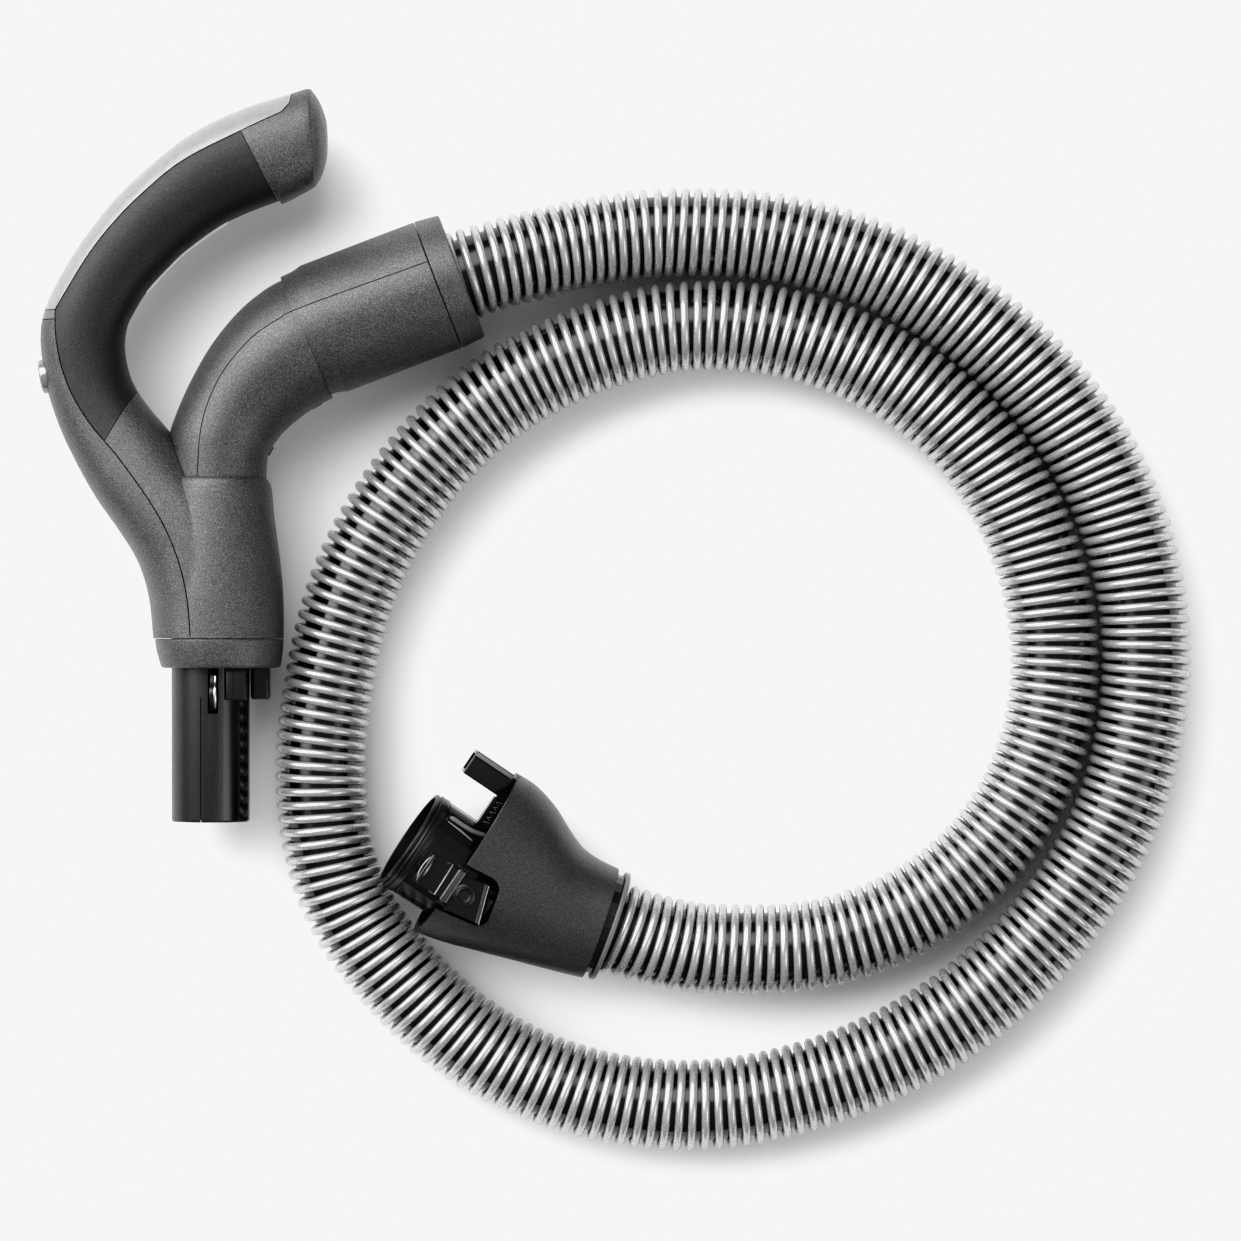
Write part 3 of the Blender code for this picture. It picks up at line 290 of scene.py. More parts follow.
def oval(centre, side, up, power=2.0, count=AROUND):
    """A superellipse: at power 2 an ellipse, above that squarer."""
    points = []
    for i in range(count):
        angle = 2 * math.pi * (i + 0.5) / count
        c, s = math.cos(angle), math.sin(angle)
        along = math.copysign(abs(c) ** (2 / power), c)
        across = math.copysign(abs(s) ** (2 / power), s)
        points.append(centre + side * along + up * across)
    return points


def loft(name, ovals, paint=None, sharp=32, closed=True):
    """A skin over rings of points; a closed one has both ends filled."""
    bm = bmesh.new()
    rings = [[bm.verts.new(p) for p in points] for points in ovals]
    count = len(rings[0])
    for one, two in zip(rings, rings[1:]):
        for i in range(count):
            j = (i + 1) % count
            bm.faces.new((one[i], one[j], two[j], two[i]))
    if closed:
        bm.faces.new(reversed(rings[0]))
        bm.faces.new(rings[-1])
    return mesh_object(name, bm, paint, sharp)


def edge_ovals(rows, grow=0.0, power=2.0, steps=STEPS_BETWEEN):
    """Ovals between the outer and inner edges of an outline, at the handle's height."""
    made = []
    for row in smooth_rows(rows, steps):
        outer, inner = Vector((row[0], row[1], 0)), Vector((row[2], row[3], 0))
        half = (outer - inner) / 2
        depth = row[4] if len(row) > 4 else half.length
        centre = (outer + inner) / 2 + Vector((0, 0, HANDLE_Z))
        side = half.normalized() * (half.length + grow)
        made.append(oval(centre, side, Vector((0, 0, depth + grow)), power))
    return made


def prism(name, outline, low, high, paint=None):
    """A flat outline from above, as a solid between two heights."""
    bm = bmesh.new()
    bottom = [bm.verts.new((x, y, low)) for x, y in outline]
    top = [bm.verts.new((x, y, high)) for x, y in outline]
    count = len(outline)
    for i in range(count):
        j = (i + 1) % count
        bm.faces.new((bottom[i], bottom[j], top[j], top[i]))
    bm.faces.new(bottom)
    bm.faces.new(top)
    return mesh_object(name, bm, paint)


def frame_at(origin, along, up=Vector((0, 0, 1))):
    """A frame with +Z along a direction and +Y as near to up as it goes."""
    z = Vector(along).normalized()
    x = Vector(up).cross(z).normalized()
    y = z.cross(x)
    turn = Matrix((x, y, z)).transposed().to_4x4()
    return Matrix.Translation(Vector(origin)) @ turn


def turned(name, profile, place, paint=None, steps=TURN_STEPS, closed=True, sharp=32):
    """A profile of radius and height turned around the frame's +Z."""
    bm = bmesh.new()
    rings = []
    for r, h in profile:
        if r == 0:
            rings.append([bm.verts.new(place @ Vector((0, 0, h)))] * steps)
            continue
        ring = []
        for i in range(steps):
            a = 2 * math.pi * i / steps
            ring.append(bm.verts.new(place @ Vector((r * math.cos(a), r * math.sin(a), h))))
        rings.append(ring)
    pairs = list(zip(rings, rings[1:]))
    if closed:
        pairs.append((rings[-1], rings[0]))
    for one, two in pairs:
        for i in range(steps):
            j = (i + 1) % steps
            corners = list(dict.fromkeys((one[i], one[j], two[j], two[i])))
            if len(corners) > 2:
                bm.faces.new(corners)
    return mesh_object(name, bm, paint, sharp)


def rod(name, radius, low, high, place, count=32):
    """A round rod between two heights of a frame."""
    profile = ((0, high), (radius, high), (radius, low), (0, low))
    return turned(name, profile, place, steps=count, closed=False)


def box(name, low, high, place=Matrix(), paint=None, round_by=0.0, segments=3):
    """A box between two corners given in a frame, with rounded edges."""
    bm = bmesh.new()
    bmesh.ops.create_cube(bm, size=1)
    low, high = Vector(low), Vector(high)
    bmesh.ops.scale(bm, vec=high - low, verts=bm.verts)
    bmesh.ops.translate(bm, vec=(low + high) / 2, verts=bm.verts)
    if round_by:
        bmesh.ops.bevel(bm, geom=bm.edges[:], offset=round_by, segments=segments, profile=0.5, affect="EDGES")
    bmesh.ops.transform(bm, matrix=place, verts=bm.verts)
    return mesh_object(name, bm, paint)


def bar(name, points, radius, paint=None, sides=12):
    """A round bar along points given in millimetres, with closed ends that narrow."""
    points = [Vector(p) for p in points]
    rings = []
    last = len(points) - 1
    for i, p in enumerate(points):
        ahead = points[min(i + 1, last)] - points[max(i - 1, 0)]
        place = frame_at(p, ahead)
        size = radius * (0.55 if i in (0, last) else 1.0)
        ring = []
        for k in range(sides):
            angle = 2 * math.pi * k / sides
            ring.append(place @ Vector((size * math.cos(angle), size * math.sin(angle), 0)))
        rings.append(ring)
    return loft(name, rings, paint, sharp=60)


def shifted(points, distance):
    """A line from above, moved sideways."""
    made = []
    for i, (x, y) in enumerate(points):
        x0, y0 = points[max(i - 1, 0)]
        x1, y1 = points[min(i + 1, len(points) - 1)]
        run = math.hypot(x1 - x0, y1 - y0)
        made.append((x - (y1 - y0) / run * distance, y + (x1 - x0) / run * distance))
    return made


def carve(thing, steps, paint=None, sharp=32):
    """Applies Boolean steps of (operation, other object) and removes the others."""
    for operation, other in steps:
        change = thing.modifiers.new("cut", "BOOLEAN")
        change.operation = operation
        change.solver = "EXACT"
        change.object = other
    bpy.context.view_layer.update()
    mesh = bpy.data.meshes.new_from_object(thing.evaluated_get(bpy.context.evaluated_depsgraph_get()))
    thing.modifiers.clear()
    old = thing.data
    thing.data = mesh
    bpy.data.meshes.remove(old)
    mesh.name = thing.name
    finish_mesh(mesh, paint, sharp)
    for other in {other for operation, other in steps}:
        if other.users_scene and other.name.startswith("cut_"):
            bpy.data.objects.remove(other, do_unlink=True)
    return thing


def cut_all(thing, *others, paint=None, first=()):
    """Cuts the other objects out of a piece, after any first steps."""
    return carve(thing, list(first) + [("DIFFERENCE", other) for other in others], paint)


def copy_of(thing, name):
    made = bpy.data.objects.new(name, thing.data.copy())
    made.data.name = name
    bpy.context.scene.collection.objects.link(made)
    return made


def drop(thing):
    bpy.data.objects.remove(thing, do_unlink=True)


def hold(thing, slot, body, *nodes):
    """Rides a finished piece on its body, in place of the CAD nodes that it stands for."""
    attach(thing, body)
    if nodes:
        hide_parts(*nodes)
    return thing


# ---- Materials ----
class Nodes:
    """Short names for a material's nodes and links."""

    def __init__(self, name):
        self.made = bpy.data.materials.new(name)
        self.made.use_nodes = True
        self.tree = self.made.node_tree
        self.shader = self.tree.nodes["Principled BSDF"]

    def add(self, kind, **values):
        node = self.tree.nodes.new(kind)
        for key, value in values.items():
            setattr(node, key, value)
        return node

    def link(self, output, target):
        self.tree.links.new(output, target)

    def put(self, **values):
        for key, value in values.items():
            name = key.replace("_", " ")
            self.shader.inputs[name].default_value = value

    def coordinates(self):
        return self.add("ShaderNodeTexCoord").outputs["Object"]

    def noise(self, scale, detail=3.0, roughness=0.6):
        node = self.add("ShaderNodeTexNoise")
        node.inputs["Scale"].default_value = scale
        node.inputs["Detail"].default_value = detail
        node.inputs["Roughness"].default_value = roughness
        self.link(self.coordinates(), node.inputs["Vector"])
        return node.outputs["Fac"]

    def ramp(self, value, stops):
        node = self.add("ShaderNodeValToRGB")
        first, last = node.color_ramp.elements
        first.position, first.color = stops[0][0], (*[stops[0][1]] * 3, 1)
        last.position, last.color = stops[-1][0], (*[stops[-1][1]] * 3, 1)
        for position, grey in stops[1:-1]:
            node.color_ramp.elements.new(position).color = (grey, grey, grey, 1)
        self.link(value, node.inputs["Fac"])
        return node.outputs["Color"]

    def bump(self, height, distance, strength=1.0, edge=0.0):
        """Bumps the surface, on normals that a Bevel node softens at the edges."""
        node = self.add("ShaderNodeBump")
        node.inputs["Strength"].default_value = strength
        node.inputs["Distance"].default_value = distance
        self.link(height, node.inputs["Height"])
        if edge:
            bevel = self.add("ShaderNodeBevel")
            bevel.samples = 4
            bevel.inputs["Radius"].default_value = edge
            self.link(bevel.outputs["Normal"], node.inputs["Normal"])
        self.link(node.outputs["Normal"], self.shader.inputs["Normal"])


def grained(name, dark, light, roughness, grain=1500.0, depth=0.00012, specular=0.5, edge=0.0005):
    """Spark-eroded plastic: fine light specks on a dark ground, with matching bumps."""
    made = Nodes(name)
    specks = made.noise(grain, 2.0, 0.7)
    patches = made.noise(60.0, 2.0)
    mixed = made.add("ShaderNodeMath", operation="MULTIPLY_ADD")
    made.link(patches, mixed.inputs[0])
    mixed.inputs[1].default_value = 0.05
    made.link(specks, mixed.inputs[2])
    made.link(made.ramp(mixed.outputs[0], ((0.42, dark), (0.56, dark * 0.6 + light * 0.4), (0.68, light))),
              made.shader.inputs["Base Color"])
    made.link(made.ramp(specks, ((0.35, roughness + 0.08), (0.7, roughness - 0.08))),
              made.shader.inputs["Roughness"])
    made.put(Specular_IOR_Level=specular)
    made.bump(specks, depth, 0.8, edge)
    return made.made


def smooth_plastic(name, grey, roughness, specular=0.5, metallic=0.0, wave=0.00002, edge=0.0004):
    """Moulded plastic with a faint orange peel."""
    made = Nodes(name)
    peel = made.noise(350.0, 3.0)
    made.link(made.ramp(peel, ((0.3, grey * 0.92), (0.7, grey * 1.08))), made.shader.inputs["Base Color"])
    made.link(made.ramp(made.noise(90.0), ((0.3, roughness * 0.85), (0.7, roughness * 1.15))),
              made.shader.inputs["Roughness"])
    made.put(Specular_IOR_Level=specular, Metallic=metallic)
    made.bump(peel, wave, 0.5, edge)
    return made.made


def rib_plastic():
    """Silver-grey rib with fine drawn lines along it."""
    made = Nodes("rib_silver")
    grain = made.noise(700.0, 2.0)
    made.link(made.ramp(grain, ((0.3, 0.37), (0.7, 0.43))), made.shader.inputs["Base Color"])
    made.link(made.ramp(made.noise(500.0), ((0.3, 0.25), (0.7, 0.29))), made.shader.inputs["Roughness"])
    made.put(Specular_IOR_Level=0.8, Metallic=0.6)
    return made.made


def metal(name, grey, roughness):
    made = Nodes(name)
    lines = made.noise(900.0, 2.0)
    made.link(made.ramp(lines, ((0.3, grey * 0.85), (0.7, grey))), made.shader.inputs["Base Color"])
    made.put(Metallic=1.0, Roughness=roughness)
    made.bump(lines, 0.00002, 0.3)
    return made.made


def brass_metal():
    made = Nodes("contact_brass")
    made.put(Metallic=1.0, Roughness=0.3)
    tint = made.add("ShaderNodeMix", data_type="RGBA")
    tint.inputs["A"].default_value = (0.62, 0.46, 0.2, 1)
    tint.inputs["B"].default_value = (0.75, 0.6, 0.3, 1)
    made.link(made.noise(700.0), tint.inputs["Factor"])
    made.link(tint.outputs["Result"], made.shader.inputs["Base Color"])
    return made.made


def board_green():
    made = Nodes("board_green")
    made.put(Roughness=0.4)
    tint = made.add("ShaderNodeMix", data_type="RGBA")
    tint.inputs["A"].default_value = (0.01, 0.09, 0.03, 1)
    tint.inputs["B"].default_value = (0.03, 0.16, 0.06, 1)
    made.link(made.noise(500.0), tint.inputs["Factor"])
    made.link(tint.outputs["Result"], made.shader.inputs["Base Color"])
    return made.made


def floor_paint():
    made = Nodes("floor_pale")
    made.link(made.ramp(made.noise(3.0), ((0.3, 0.90), (0.7, 0.905))), made.shader.inputs["Base Color"])
    made.put(Roughness=1.0, Specular_IOR_Level=0.0)
    return made.made


PAINT = {
    "shell": grained("shell_grain", 0.003, 0.115, 0.42, grain=2000.0, depth=0.00016, specular=0.8),
    "dark_shell": grained("dark_shell_grain", 0.002, 0.052, 0.4, grain=2000.0, depth=0.00016, specular=0.7),
    "grip": grained("grip_rubber", 0.001, 0.022, 0.45, grain=1900.0, depth=0.0002, specular=0.5),
    "silver": smooth_plastic("strip_silver", 0.26, 0.35, 0.4, 0.2),
    # Near white on the grip's inlay: its own light colour, lifted so it shows bright where the grip shades
    # it, which is a painted highlight.
    "inlay": smooth_plastic("inlay_painted_highlight", 0.85, 0.3),
    "grey": smooth_plastic("ring_grey", 0.12, 0.35),
    # The button's paint, also on the thin lighter bars at the latch and the mouth that are painted highlights
    # and glints.
    "gloss": smooth_plastic("button_gloss", 0.25, 0.18, 0.6, 0.5),
    "black": smooth_plastic("satin_black", 0.008, 0.28),
    "satin": grained("tube_satin", 0.004, 0.03, 0.33, grain=1800.0, depth=0.00006),
    "gloss_black": smooth_plastic("gloss_black", 0.006, 0.16),
    "rubber": smooth_plastic("seal_rubber", 0.008, 0.3, 0.5),
    "steel": metal("spring_steel", 0.7, 0.22),
    "brass": brass_metal(),
    "board": board_green(),
    "rib": rib_plastic(),
    "core": smooth_plastic("hose_black", 0.004, 0.14, 0.5),
}


# ---- Camera, light and floor ----
def make_camera():
    data = bpy.data.cameras.new("camera")
    data.sensor_width = SENSOR
    data.lens = SENSOR * CAMERA_DISTANCE / VIEW_WIDTH
    data.clip_end = 50
    camera = bpy.data.objects.new("camera", data)
    camera.location = (*VIEW_CENTRE, VIEW_PLANE + CAMERA_DISTANCE)
    bpy.context.scene.collection.objects.link(camera)
    bpy.context.scene.camera = camera


def make_tone():
    """The picture's contrast, the same from every side."""
    view = bpy.context.scene.view_settings
    view.view_transform = "Standard"
    view.use_curve_mapping = True
    curve = view.curve_mapping.curves[3]
    for place, level in TONE[1:-1]:
        curve.points.new(place, level)
    curve.points[0].location = TONE[0]
    curve.points[-1].location = TONE[-1]
    view.curve_mapping.extend = "HORIZONTAL"
    view.curve_mapping.update()


def make_floor():
    bm = bmesh.new()
    bmesh.ops.create_grid(bm, x_segments=1, y_segments=1, size=FLOOR_SIZE)
    floor = mesh_object("floor", bm, floor_paint())
    floor.location = (0, 0, -FLOOR_DROP)


def make_sky():
    """A dim studio with soft lights, as a world that depends only on direction."""
    world = bpy.data.worlds.new("studio")
    bpy.context.scene.world = world
    world.use_nodes = True
    tree = world.node_tree
    tree.nodes.clear()
    direction = tree.nodes.new("ShaderNodeTexCoord").outputs["Generated"]
    height = tree.nodes.new("ShaderNodeSeparateXYZ")
    tree.links.new(direction, height.inputs[0])
    base = tree.nodes.new("ShaderNodeMapRange")
    base.inputs["To Min"].default_value = SKY_HORIZON
    base.inputs["To Max"].default_value = SKY_ABOVE
    tree.links.new(height.outputs["Z"], base.inputs["Value"])
    total = base.outputs["Result"]
    for azimuth, tilt, power, inside, outside in SOFT_LIGHTS:
        a, t = math.radians(azimuth), math.radians(tilt)
        dot = tree.nodes.new("ShaderNodeVectorMath")
        dot.operation = "DOT_PRODUCT"
        dot.inputs[1].default_value = (math.sin(t) * math.cos(a), math.sin(t) * math.sin(a), math.cos(t))
        tree.links.new(direction, dot.inputs[0])
        fade = tree.nodes.new("ShaderNodeMapRange")
        fade.interpolation_type = "SMOOTHSTEP"
        fade.inputs["From Min"].default_value = math.cos(math.radians(outside))
        fade.inputs["From Max"].default_value = math.cos(math.radians(inside))
        fade.inputs["To Min"].default_value = 0.0
        fade.inputs["To Max"].default_value = power
        tree.links.new(dot.outputs["Value"], fade.inputs["Value"])
        add = tree.nodes.new("ShaderNodeMath")
        add.operation = "ADD"
        tree.links.new(fade.outputs["Result"], add.inputs[0])
        tree.links.new(total, add.inputs[1])
        total = add.outputs[0]
    light = tree.nodes.new("ShaderNodeBackground")
    light.inputs["Color"].default_value = (1, 1, 1, 1)
    tree.links.new(total, light.inputs["Strength"])
    output = tree.nodes.new("ShaderNodeOutputWorld")
    tree.links.new(light.outputs["Background"], output.inputs["Surface"])


# ---- Hose ----
def hose_line(count):
    """Evenly spaced points along the route, in millimetres."""
    fine = [Vector(row) for row in smooth_rows(HOSE_ROUTE, ROUTE_STEPS)]
    along = [0.0]
    for one, two in zip(fine, fine[1:]):
        along.append(along[-1] + (two - one).length)
    points, place = [], 0
    for i in range(count):
        at = along[-1] * i / (count - 1)
        while place < len(along) - 2 and along[place + 1] < at:
            place += 1
        part = (at - along[place]) / (along[place + 1] - along[place])
        points.append(fine[place].lerp(fine[place + 1], part))
    return points, along[-1]


def line_frames(points):
    """Each point of a line that lies nearly flat, with its directions across and up."""
    made = []
    last = len(points) - 1
    for i, p in enumerate(points):
        ahead = (points[min(i + 1, last)] - points[max(i - 1, 0)]).normalized()
        across = Vector((0, 0, 1)).cross(ahead).normalized()
        made.append((p, across, ahead.cross(across)))
    return made


def ring_around(centre, across, up, radius, sides):
    ring = []
    for k in range(sides):
        angle = 2 * math.pi * k / sides
        ring.append(centre + (across * math.cos(angle) + up * math.sin(angle)) * radius)
    return ring


def make_ribs(length):
    """One helix of round section from end to end, in pieces."""
    steps = int(length / RIB_PITCH * RIB_STEPS)
    middle, _ = hose_line(steps + 1)
    spine = []
    for i, (p, across, up) in enumerate(line_frames(middle)):
        angle = -2 * math.pi * i / RIB_STEPS
        out = across * math.cos(angle) + up * math.sin(angle)
        spine.append((p + out * (RIB_OUTSIDE - RIB_RADIUS), out))
    per_piece = steps // RIB_PIECES
    for part in range(RIB_PIECES):
        first = part * per_piece
        stop = steps if part == RIB_PIECES - 1 else first + per_piece
        rings = []
        for i in range(first, stop + 1):
            p, out = spine[i]
            ahead = (spine[min(i + 1, steps)][0] - spine[max(i - 1, 0)][0]).normalized()
            side = ahead.cross(out).normalized()
            rings.append(ring_around(p, side.cross(ahead), side, RIB_RADIUS, RIB_SIDES))
        rib = loft(f"hose_rib_{part + 1}", rings, PAINT["rib"], sharp=60)
        hold(rib, "hose_ribs", "root")


def make_hose():
    """The hose's dark wall as a cord along its route, with the light rib wound around it."""
    points, length = hose_line(HOSE_STEPS + 1)
    rings = [ring_around(p, across, up, CORE_RADIUS, CORE_SIDES) for p, across, up in line_frames(points)]
    core = loft("hose_wall", rings, PAINT["core"])
    hold(core, "hose_ribs", "root", "hose")
    make_ribs(length)


# ---- Handle ----
def region(name, outline):
    """The part of the handle inside an outline from above."""
    return prism(f"cut_{name}", outline, -20, 90)


def rounded_line(points, steps=SEAM_STEPS):
    """A smooth curve through the points of an outline from above."""
    return [tuple(p) for p in smooth_rows(points, steps)]


def make_handle():
    """The grip with its strip, band and cap, and the cover and the body, split from one smooth blank."""
    rows = tuple(reversed(CAP_NOSE)) + HANDLE
    blank = loft("blank", edge_ovals(rows, 0.0, HANDLE_SQUARENESS))
    strip_line = [STRIP_EDGE[0]] + rounded_line(STRIP_EDGE[1:])
    seam = rounded_line(COVER_SEAM)
    strip_out, strip_in = shifted(strip_line, -HALF_SEAM), shifted(strip_line, HALF_SEAM)
    seam_out, seam_in = shifted(seam, -HALF_SEAM), shifted(seam, HALF_SEAM)
    joint = NECK_JOINT * SEAM_STEPS
    neck = (COVER_SEAM[NECK_JOINT], NECK_END)
    neck_up, neck_down = shifted(neck, HALF_JOINT), shifted(neck, -HALF_JOINT)
    cap_start = STRIP_EDGE[2]
    cap_line = (cap_start, CAP_LINE_END)
    cap_out, cap_in = shifted(cap_line, HALF_JOINT), shifted(cap_line, -HALF_JOINT)
    cap_at = min(range(len(strip_in)), key=lambda i: (Vector(strip_in[i]) - Vector(cap_start)).length)

    def skin(name, outline, slot, node, *others):
        piece = copy_of(blank, name)
        cut_all(piece, *others, paint=PAINT[slot], first=[("INTERSECT", region(name, outline))])
        hold(piece, slot, "root", node)

    skin("strip", strip_out + [(-140, 100.8), (-140, 215), (-15.0, 215)], "silver", "top_strip")
    band = [(-123.2, 100.25), (-140, 100.5), (-140, 96.2), (-123.2, 96.35)]
    skin("strip_band", band, "grey", "strip_foot_band")
    cap = cap_out[::-1] + strip_in[cap_at - 1:: -1] + [(-14.6, 215), (20, 215), (20, 130)]
    skin("cap", cap, "shell", "end_cap")
    grip = cap_in + [(-30, 128), (-60, 95)] + neck_up[::-1] + seam_in[joint - 1:: -1] + strip_in[:cap_at:-1]
    skin("grip", grip, "grip", "soft_grip", inlay_groove(), board_pocket())
    button_hole = rod("cut_button", BUTTON_RADIUS + GAP, -8, 9, button_frame(), count=64)
    foot = COLLAR_TOP + GAP
    above_foot = foot + 0.2
    cover = [p for p in seam_out if p[1] > above_foot] + [(-61.6, foot), (-140, foot), (-140, 95.8)]
    skin("cover", cover, "shell", "front_cover", button_hole, wand_space("cut_wand_a"))

    trunk = [p for p in seam_in[joint + 1:] if p[1] > above_foot]
    trunk += [(-61.6, foot), (0, foot), (0, 62), (-60, 66)] + neck_down[::-1]
    carve(blank, [("UNION", loft("cut_socket", edge_ovals(SOCKET, 0.0, SOCKET_SQUARENESS)))])
    elbow_space = loft("cut_elbow", edge_ovals(ELBOW, GAP))
    skin("body", trunk, "shell", "handle_body", elbow_space, wand_space("cut_wand_b"), board_pocket())
    drop(blank)


def wand_space(name):
    return rod(name, WAND_RADIUS + GAP, -60, -20, wand_frame(), count=64)


def button_frame():
    """+Z into the handle, from the face of the button."""
    return frame_at(BUTTON_CENTRE, BUTTON_IN)


def inlay_line(steps=8):
    """Along the inner edge of the grip, just inside its surface."""
    line = []
    for row in smooth_rows(HANDLE[INLAY_ROWS], steps):
        outer, inner = Vector((row[0], row[1], HANDLE_Z)), Vector((row[2], row[3], HANDLE_Z))
        line.append(inner + (outer - inner).normalized() * 0.2)
    return line


def board_pocket():
    """Room for the button's spring, its switch and their board."""
    return box("cut_board_pocket", (-13, -10.5, -6), (13, 10.5, 16), button_frame())


def inlay_groove():
    return bar("cut_inlay", inlay_line(), 1.2, sides=12)


def wand_frame():
    """+Z up the wand tube, towards the handle."""
    return frame_at((WAND_X, 0, HANDLE_Z), (0, 1, 0))


def make_inlay():
    # The inlay's near-white paint is partly a painted highlight.
    hold(bar("inlay", inlay_line(), 0.9, PAINT["inlay"]), "silver", "root", "grip_inlay")


def make_button():
    r = BUTTON_RADIUS
    stem = ((0, 6.2), (2.2, 6.2), (2.2, 3.0), (r - 0.2, 3.0), (r, 2.8))
    rim = ((r, -0.4), (r - 0.15, -0.9), (r - 0.6, -1.35), (r - 1.4, -1.6))
    dish = ((r * 0.75, -1.7), (r * 0.6, -1.6), (r * 0.4, -1.5), (0, -1.45))
    button = turned("button_cap", stem + rim + dish, button_frame(), PAINT["gloss"], 64, closed=False)
    hold(button, "gloss", "button", "push_button")


# ---- Wand end ----
def make_collar():
    edge = COLLAR_TOP - 0.6
    rows = (
        (-78.9, COLLAR_TOP, -22.3, COLLAR_TOP, 28.3),
        (-79.3, edge, -21.9, edge, 28.7),
        (-78.6, -52.0, -22.2, -52.0, 28.1),
        (-77.0, -57.8, -23.0, -57.8, 26.9),
        (-76.4, -59.1, -23.5, -59.1, 26.3),
        (-75.2, COLLAR_BOTTOM, -24.7, COLLAR_BOTTOM, 25.2),
    )
    collar = loft("collar", edge_ovals(rows, 0.0, COLLAR_SQUARENESS, steps=4))
    bore = rod("cut_bore", WAND_RADIUS + GAP, -70, -30, wand_frame(), count=64)
    seat = box("cut_seat", (-36.5, -60.5, HANDLE_Z - 7.3), (-27.5, -49.7, HANDLE_Z + 7.3))
    cut_all(collar, bore, seat, paint=PAINT["shell"])
    hold(collar, "shell", "root", "bottom_collar")


def make_wand():
    """The plug-in tube with its seam, the catch's slot and a row of dimples, satin on the left."""
    r, inside = WAND_RADIUS, WAND_RADIUS - WAND_WALL
    outer = ((r, WAND_TOP), (r, WAND_END + 1.1), (r - 0.15, WAND_END + 0.5), (r - 0.6, WAND_END))
    inner = ((inside + 0.3, WAND_END), (inside, WAND_END + 0.4), (inside, WAND_TOP))
    wand = turned("wand", outer + inner, wand_frame(), None, 128)
    slot = box("cut_slot", (-54.6, -80.0, HANDLE_Z + 11), (-49.9, -58.0, 60), round_by=0.8)
    seam = box("cut_seam", (-57.9, -140.0, HANDLE_Z + 10), (-57.55, -73.0, 60))
    cut_all(wand, slot, seam, *wand_dimples())
    wand.data.materials.clear()
    wand.data.materials.append(PAINT["gloss_black"])
    wand.data.materials.append(PAINT["satin"])
    for face in wand.data.polygons:
        centre = face.center / MM
        if centre.x < SATIN_TO_X and math.hypot(centre.x - WAND_X, centre.z - HANDLE_Z) > r - 1:
            face.material_index = 1
    hold(wand, "black", "root", "wand_tube")


def wand_dimples():
    cutters = []
    height = math.sqrt(WAND_RADIUS ** 2 - DIMPLE_SIDE ** 2)
    out = Vector((DIMPLE_SIDE, 0, height)).normalized()
    for i in range(DIMPLES):
        at = Vector((WAND_X + DIMPLE_SIDE, -82.0 - DIMPLE_PITCH * i, HANDLE_Z + height))
        place = frame_at(at, out, Vector((0, 1, 0)))
        cutters.append(rod(f"cut_dimple_{i}", 0.8, -0.18, 2.0, place, count=20))
    return cutters


def make_contacts():
    """The block over the tube's edge and the peg beside it that carries the contacts."""
    block = box("block", (-46.6, -74.0, HANDLE_Z + 4), (-37.4, -58.0, HANDLE_Z + 17.2), round_by=0.7)
    rib = box("cut_rib", (-43.3, -80, HANDLE_Z + 16.9), (-42.9, -50, HANDLE_Z + 20))
    hollow = rod("cut_hollow", WAND_RADIUS + 0.15, -90, -50, wand_frame(), count=64)
    cut_all(block, rib, hollow, paint=PAINT["black"])
    hold(block, "black", "root", "contact_block")
    low, high = (-36.2, -73.8, HANDLE_Z - 7), (-27.8, -50.0, HANDLE_Z + 7)
    peg = box("peg", low, high, round_by=1.6, segments=5)
    low, high = (-34.6, -75.0, HANDLE_Z - 5.4), (-29.4, -64.0, HANDLE_Z + 5.4)
    cut_all(peg, box("cut_socket_b", low, high, round_by=0.6), paint=PAINT["gloss_black"])
    hold(peg, "black", "root", "contact_peg")


def make_catch():
    """A bent strip that bulges out of the slot in the wand tube, with a bright steel ridge along it. The
    strip is steel but painted satin black: painted shade from the slot around it.
    """
    top = HANDLE_Z + WAND_RADIUS
    rows = ((-62.5, -1.6), (-66.0, -0.9), (-70.0, 0.9), (-74.0, 0.6), (-78.0, -1.6))
    ovals, edge = [], []
    for y, rise in smooth_rows(rows, 6):
        centre = Vector((CATCH_X, y, top + rise - 1.2))
        ovals.append(oval(centre, Vector((1.8, 0, 0)), Vector((0, 0, 0.5)), 5.0, 32))
        edge.append(centre + Vector((0.8, 0, 0.25)))
    # Satin black on the steel strip: painted shade.
    catch = loft("catch_strip_painted_shade", ovals, PAINT["black"])
    hold(catch, "steel", "catch", "wand_catch")
    hold(bar("catch_edge", edge, 0.75, PAINT["steel"]), "steel", "catch")


# ---- Elbow ----
def sleeve_frame(distance=0.0):
    """+Z along the sleeve, towards the hose."""
    return frame_at(SLEEVE_START + SLEEVE_AXIS * distance, SLEEVE_AXIS)


def swept_about_bend(name, section, start, stop, steps):
    """A section of (distance, height) swept about the centre of the elbow's bend, between two angles."""
    ovals = []
    for i in range(steps + 1):
        a = math.radians(start + (stop - start) * i / steps)
        out = Vector((math.cos(a), math.sin(a), 0))
        ovals.append([BEND_CENTRE + out * d + Vector((0, 0, h)) for d, h in section])
    return loft(name, ovals)


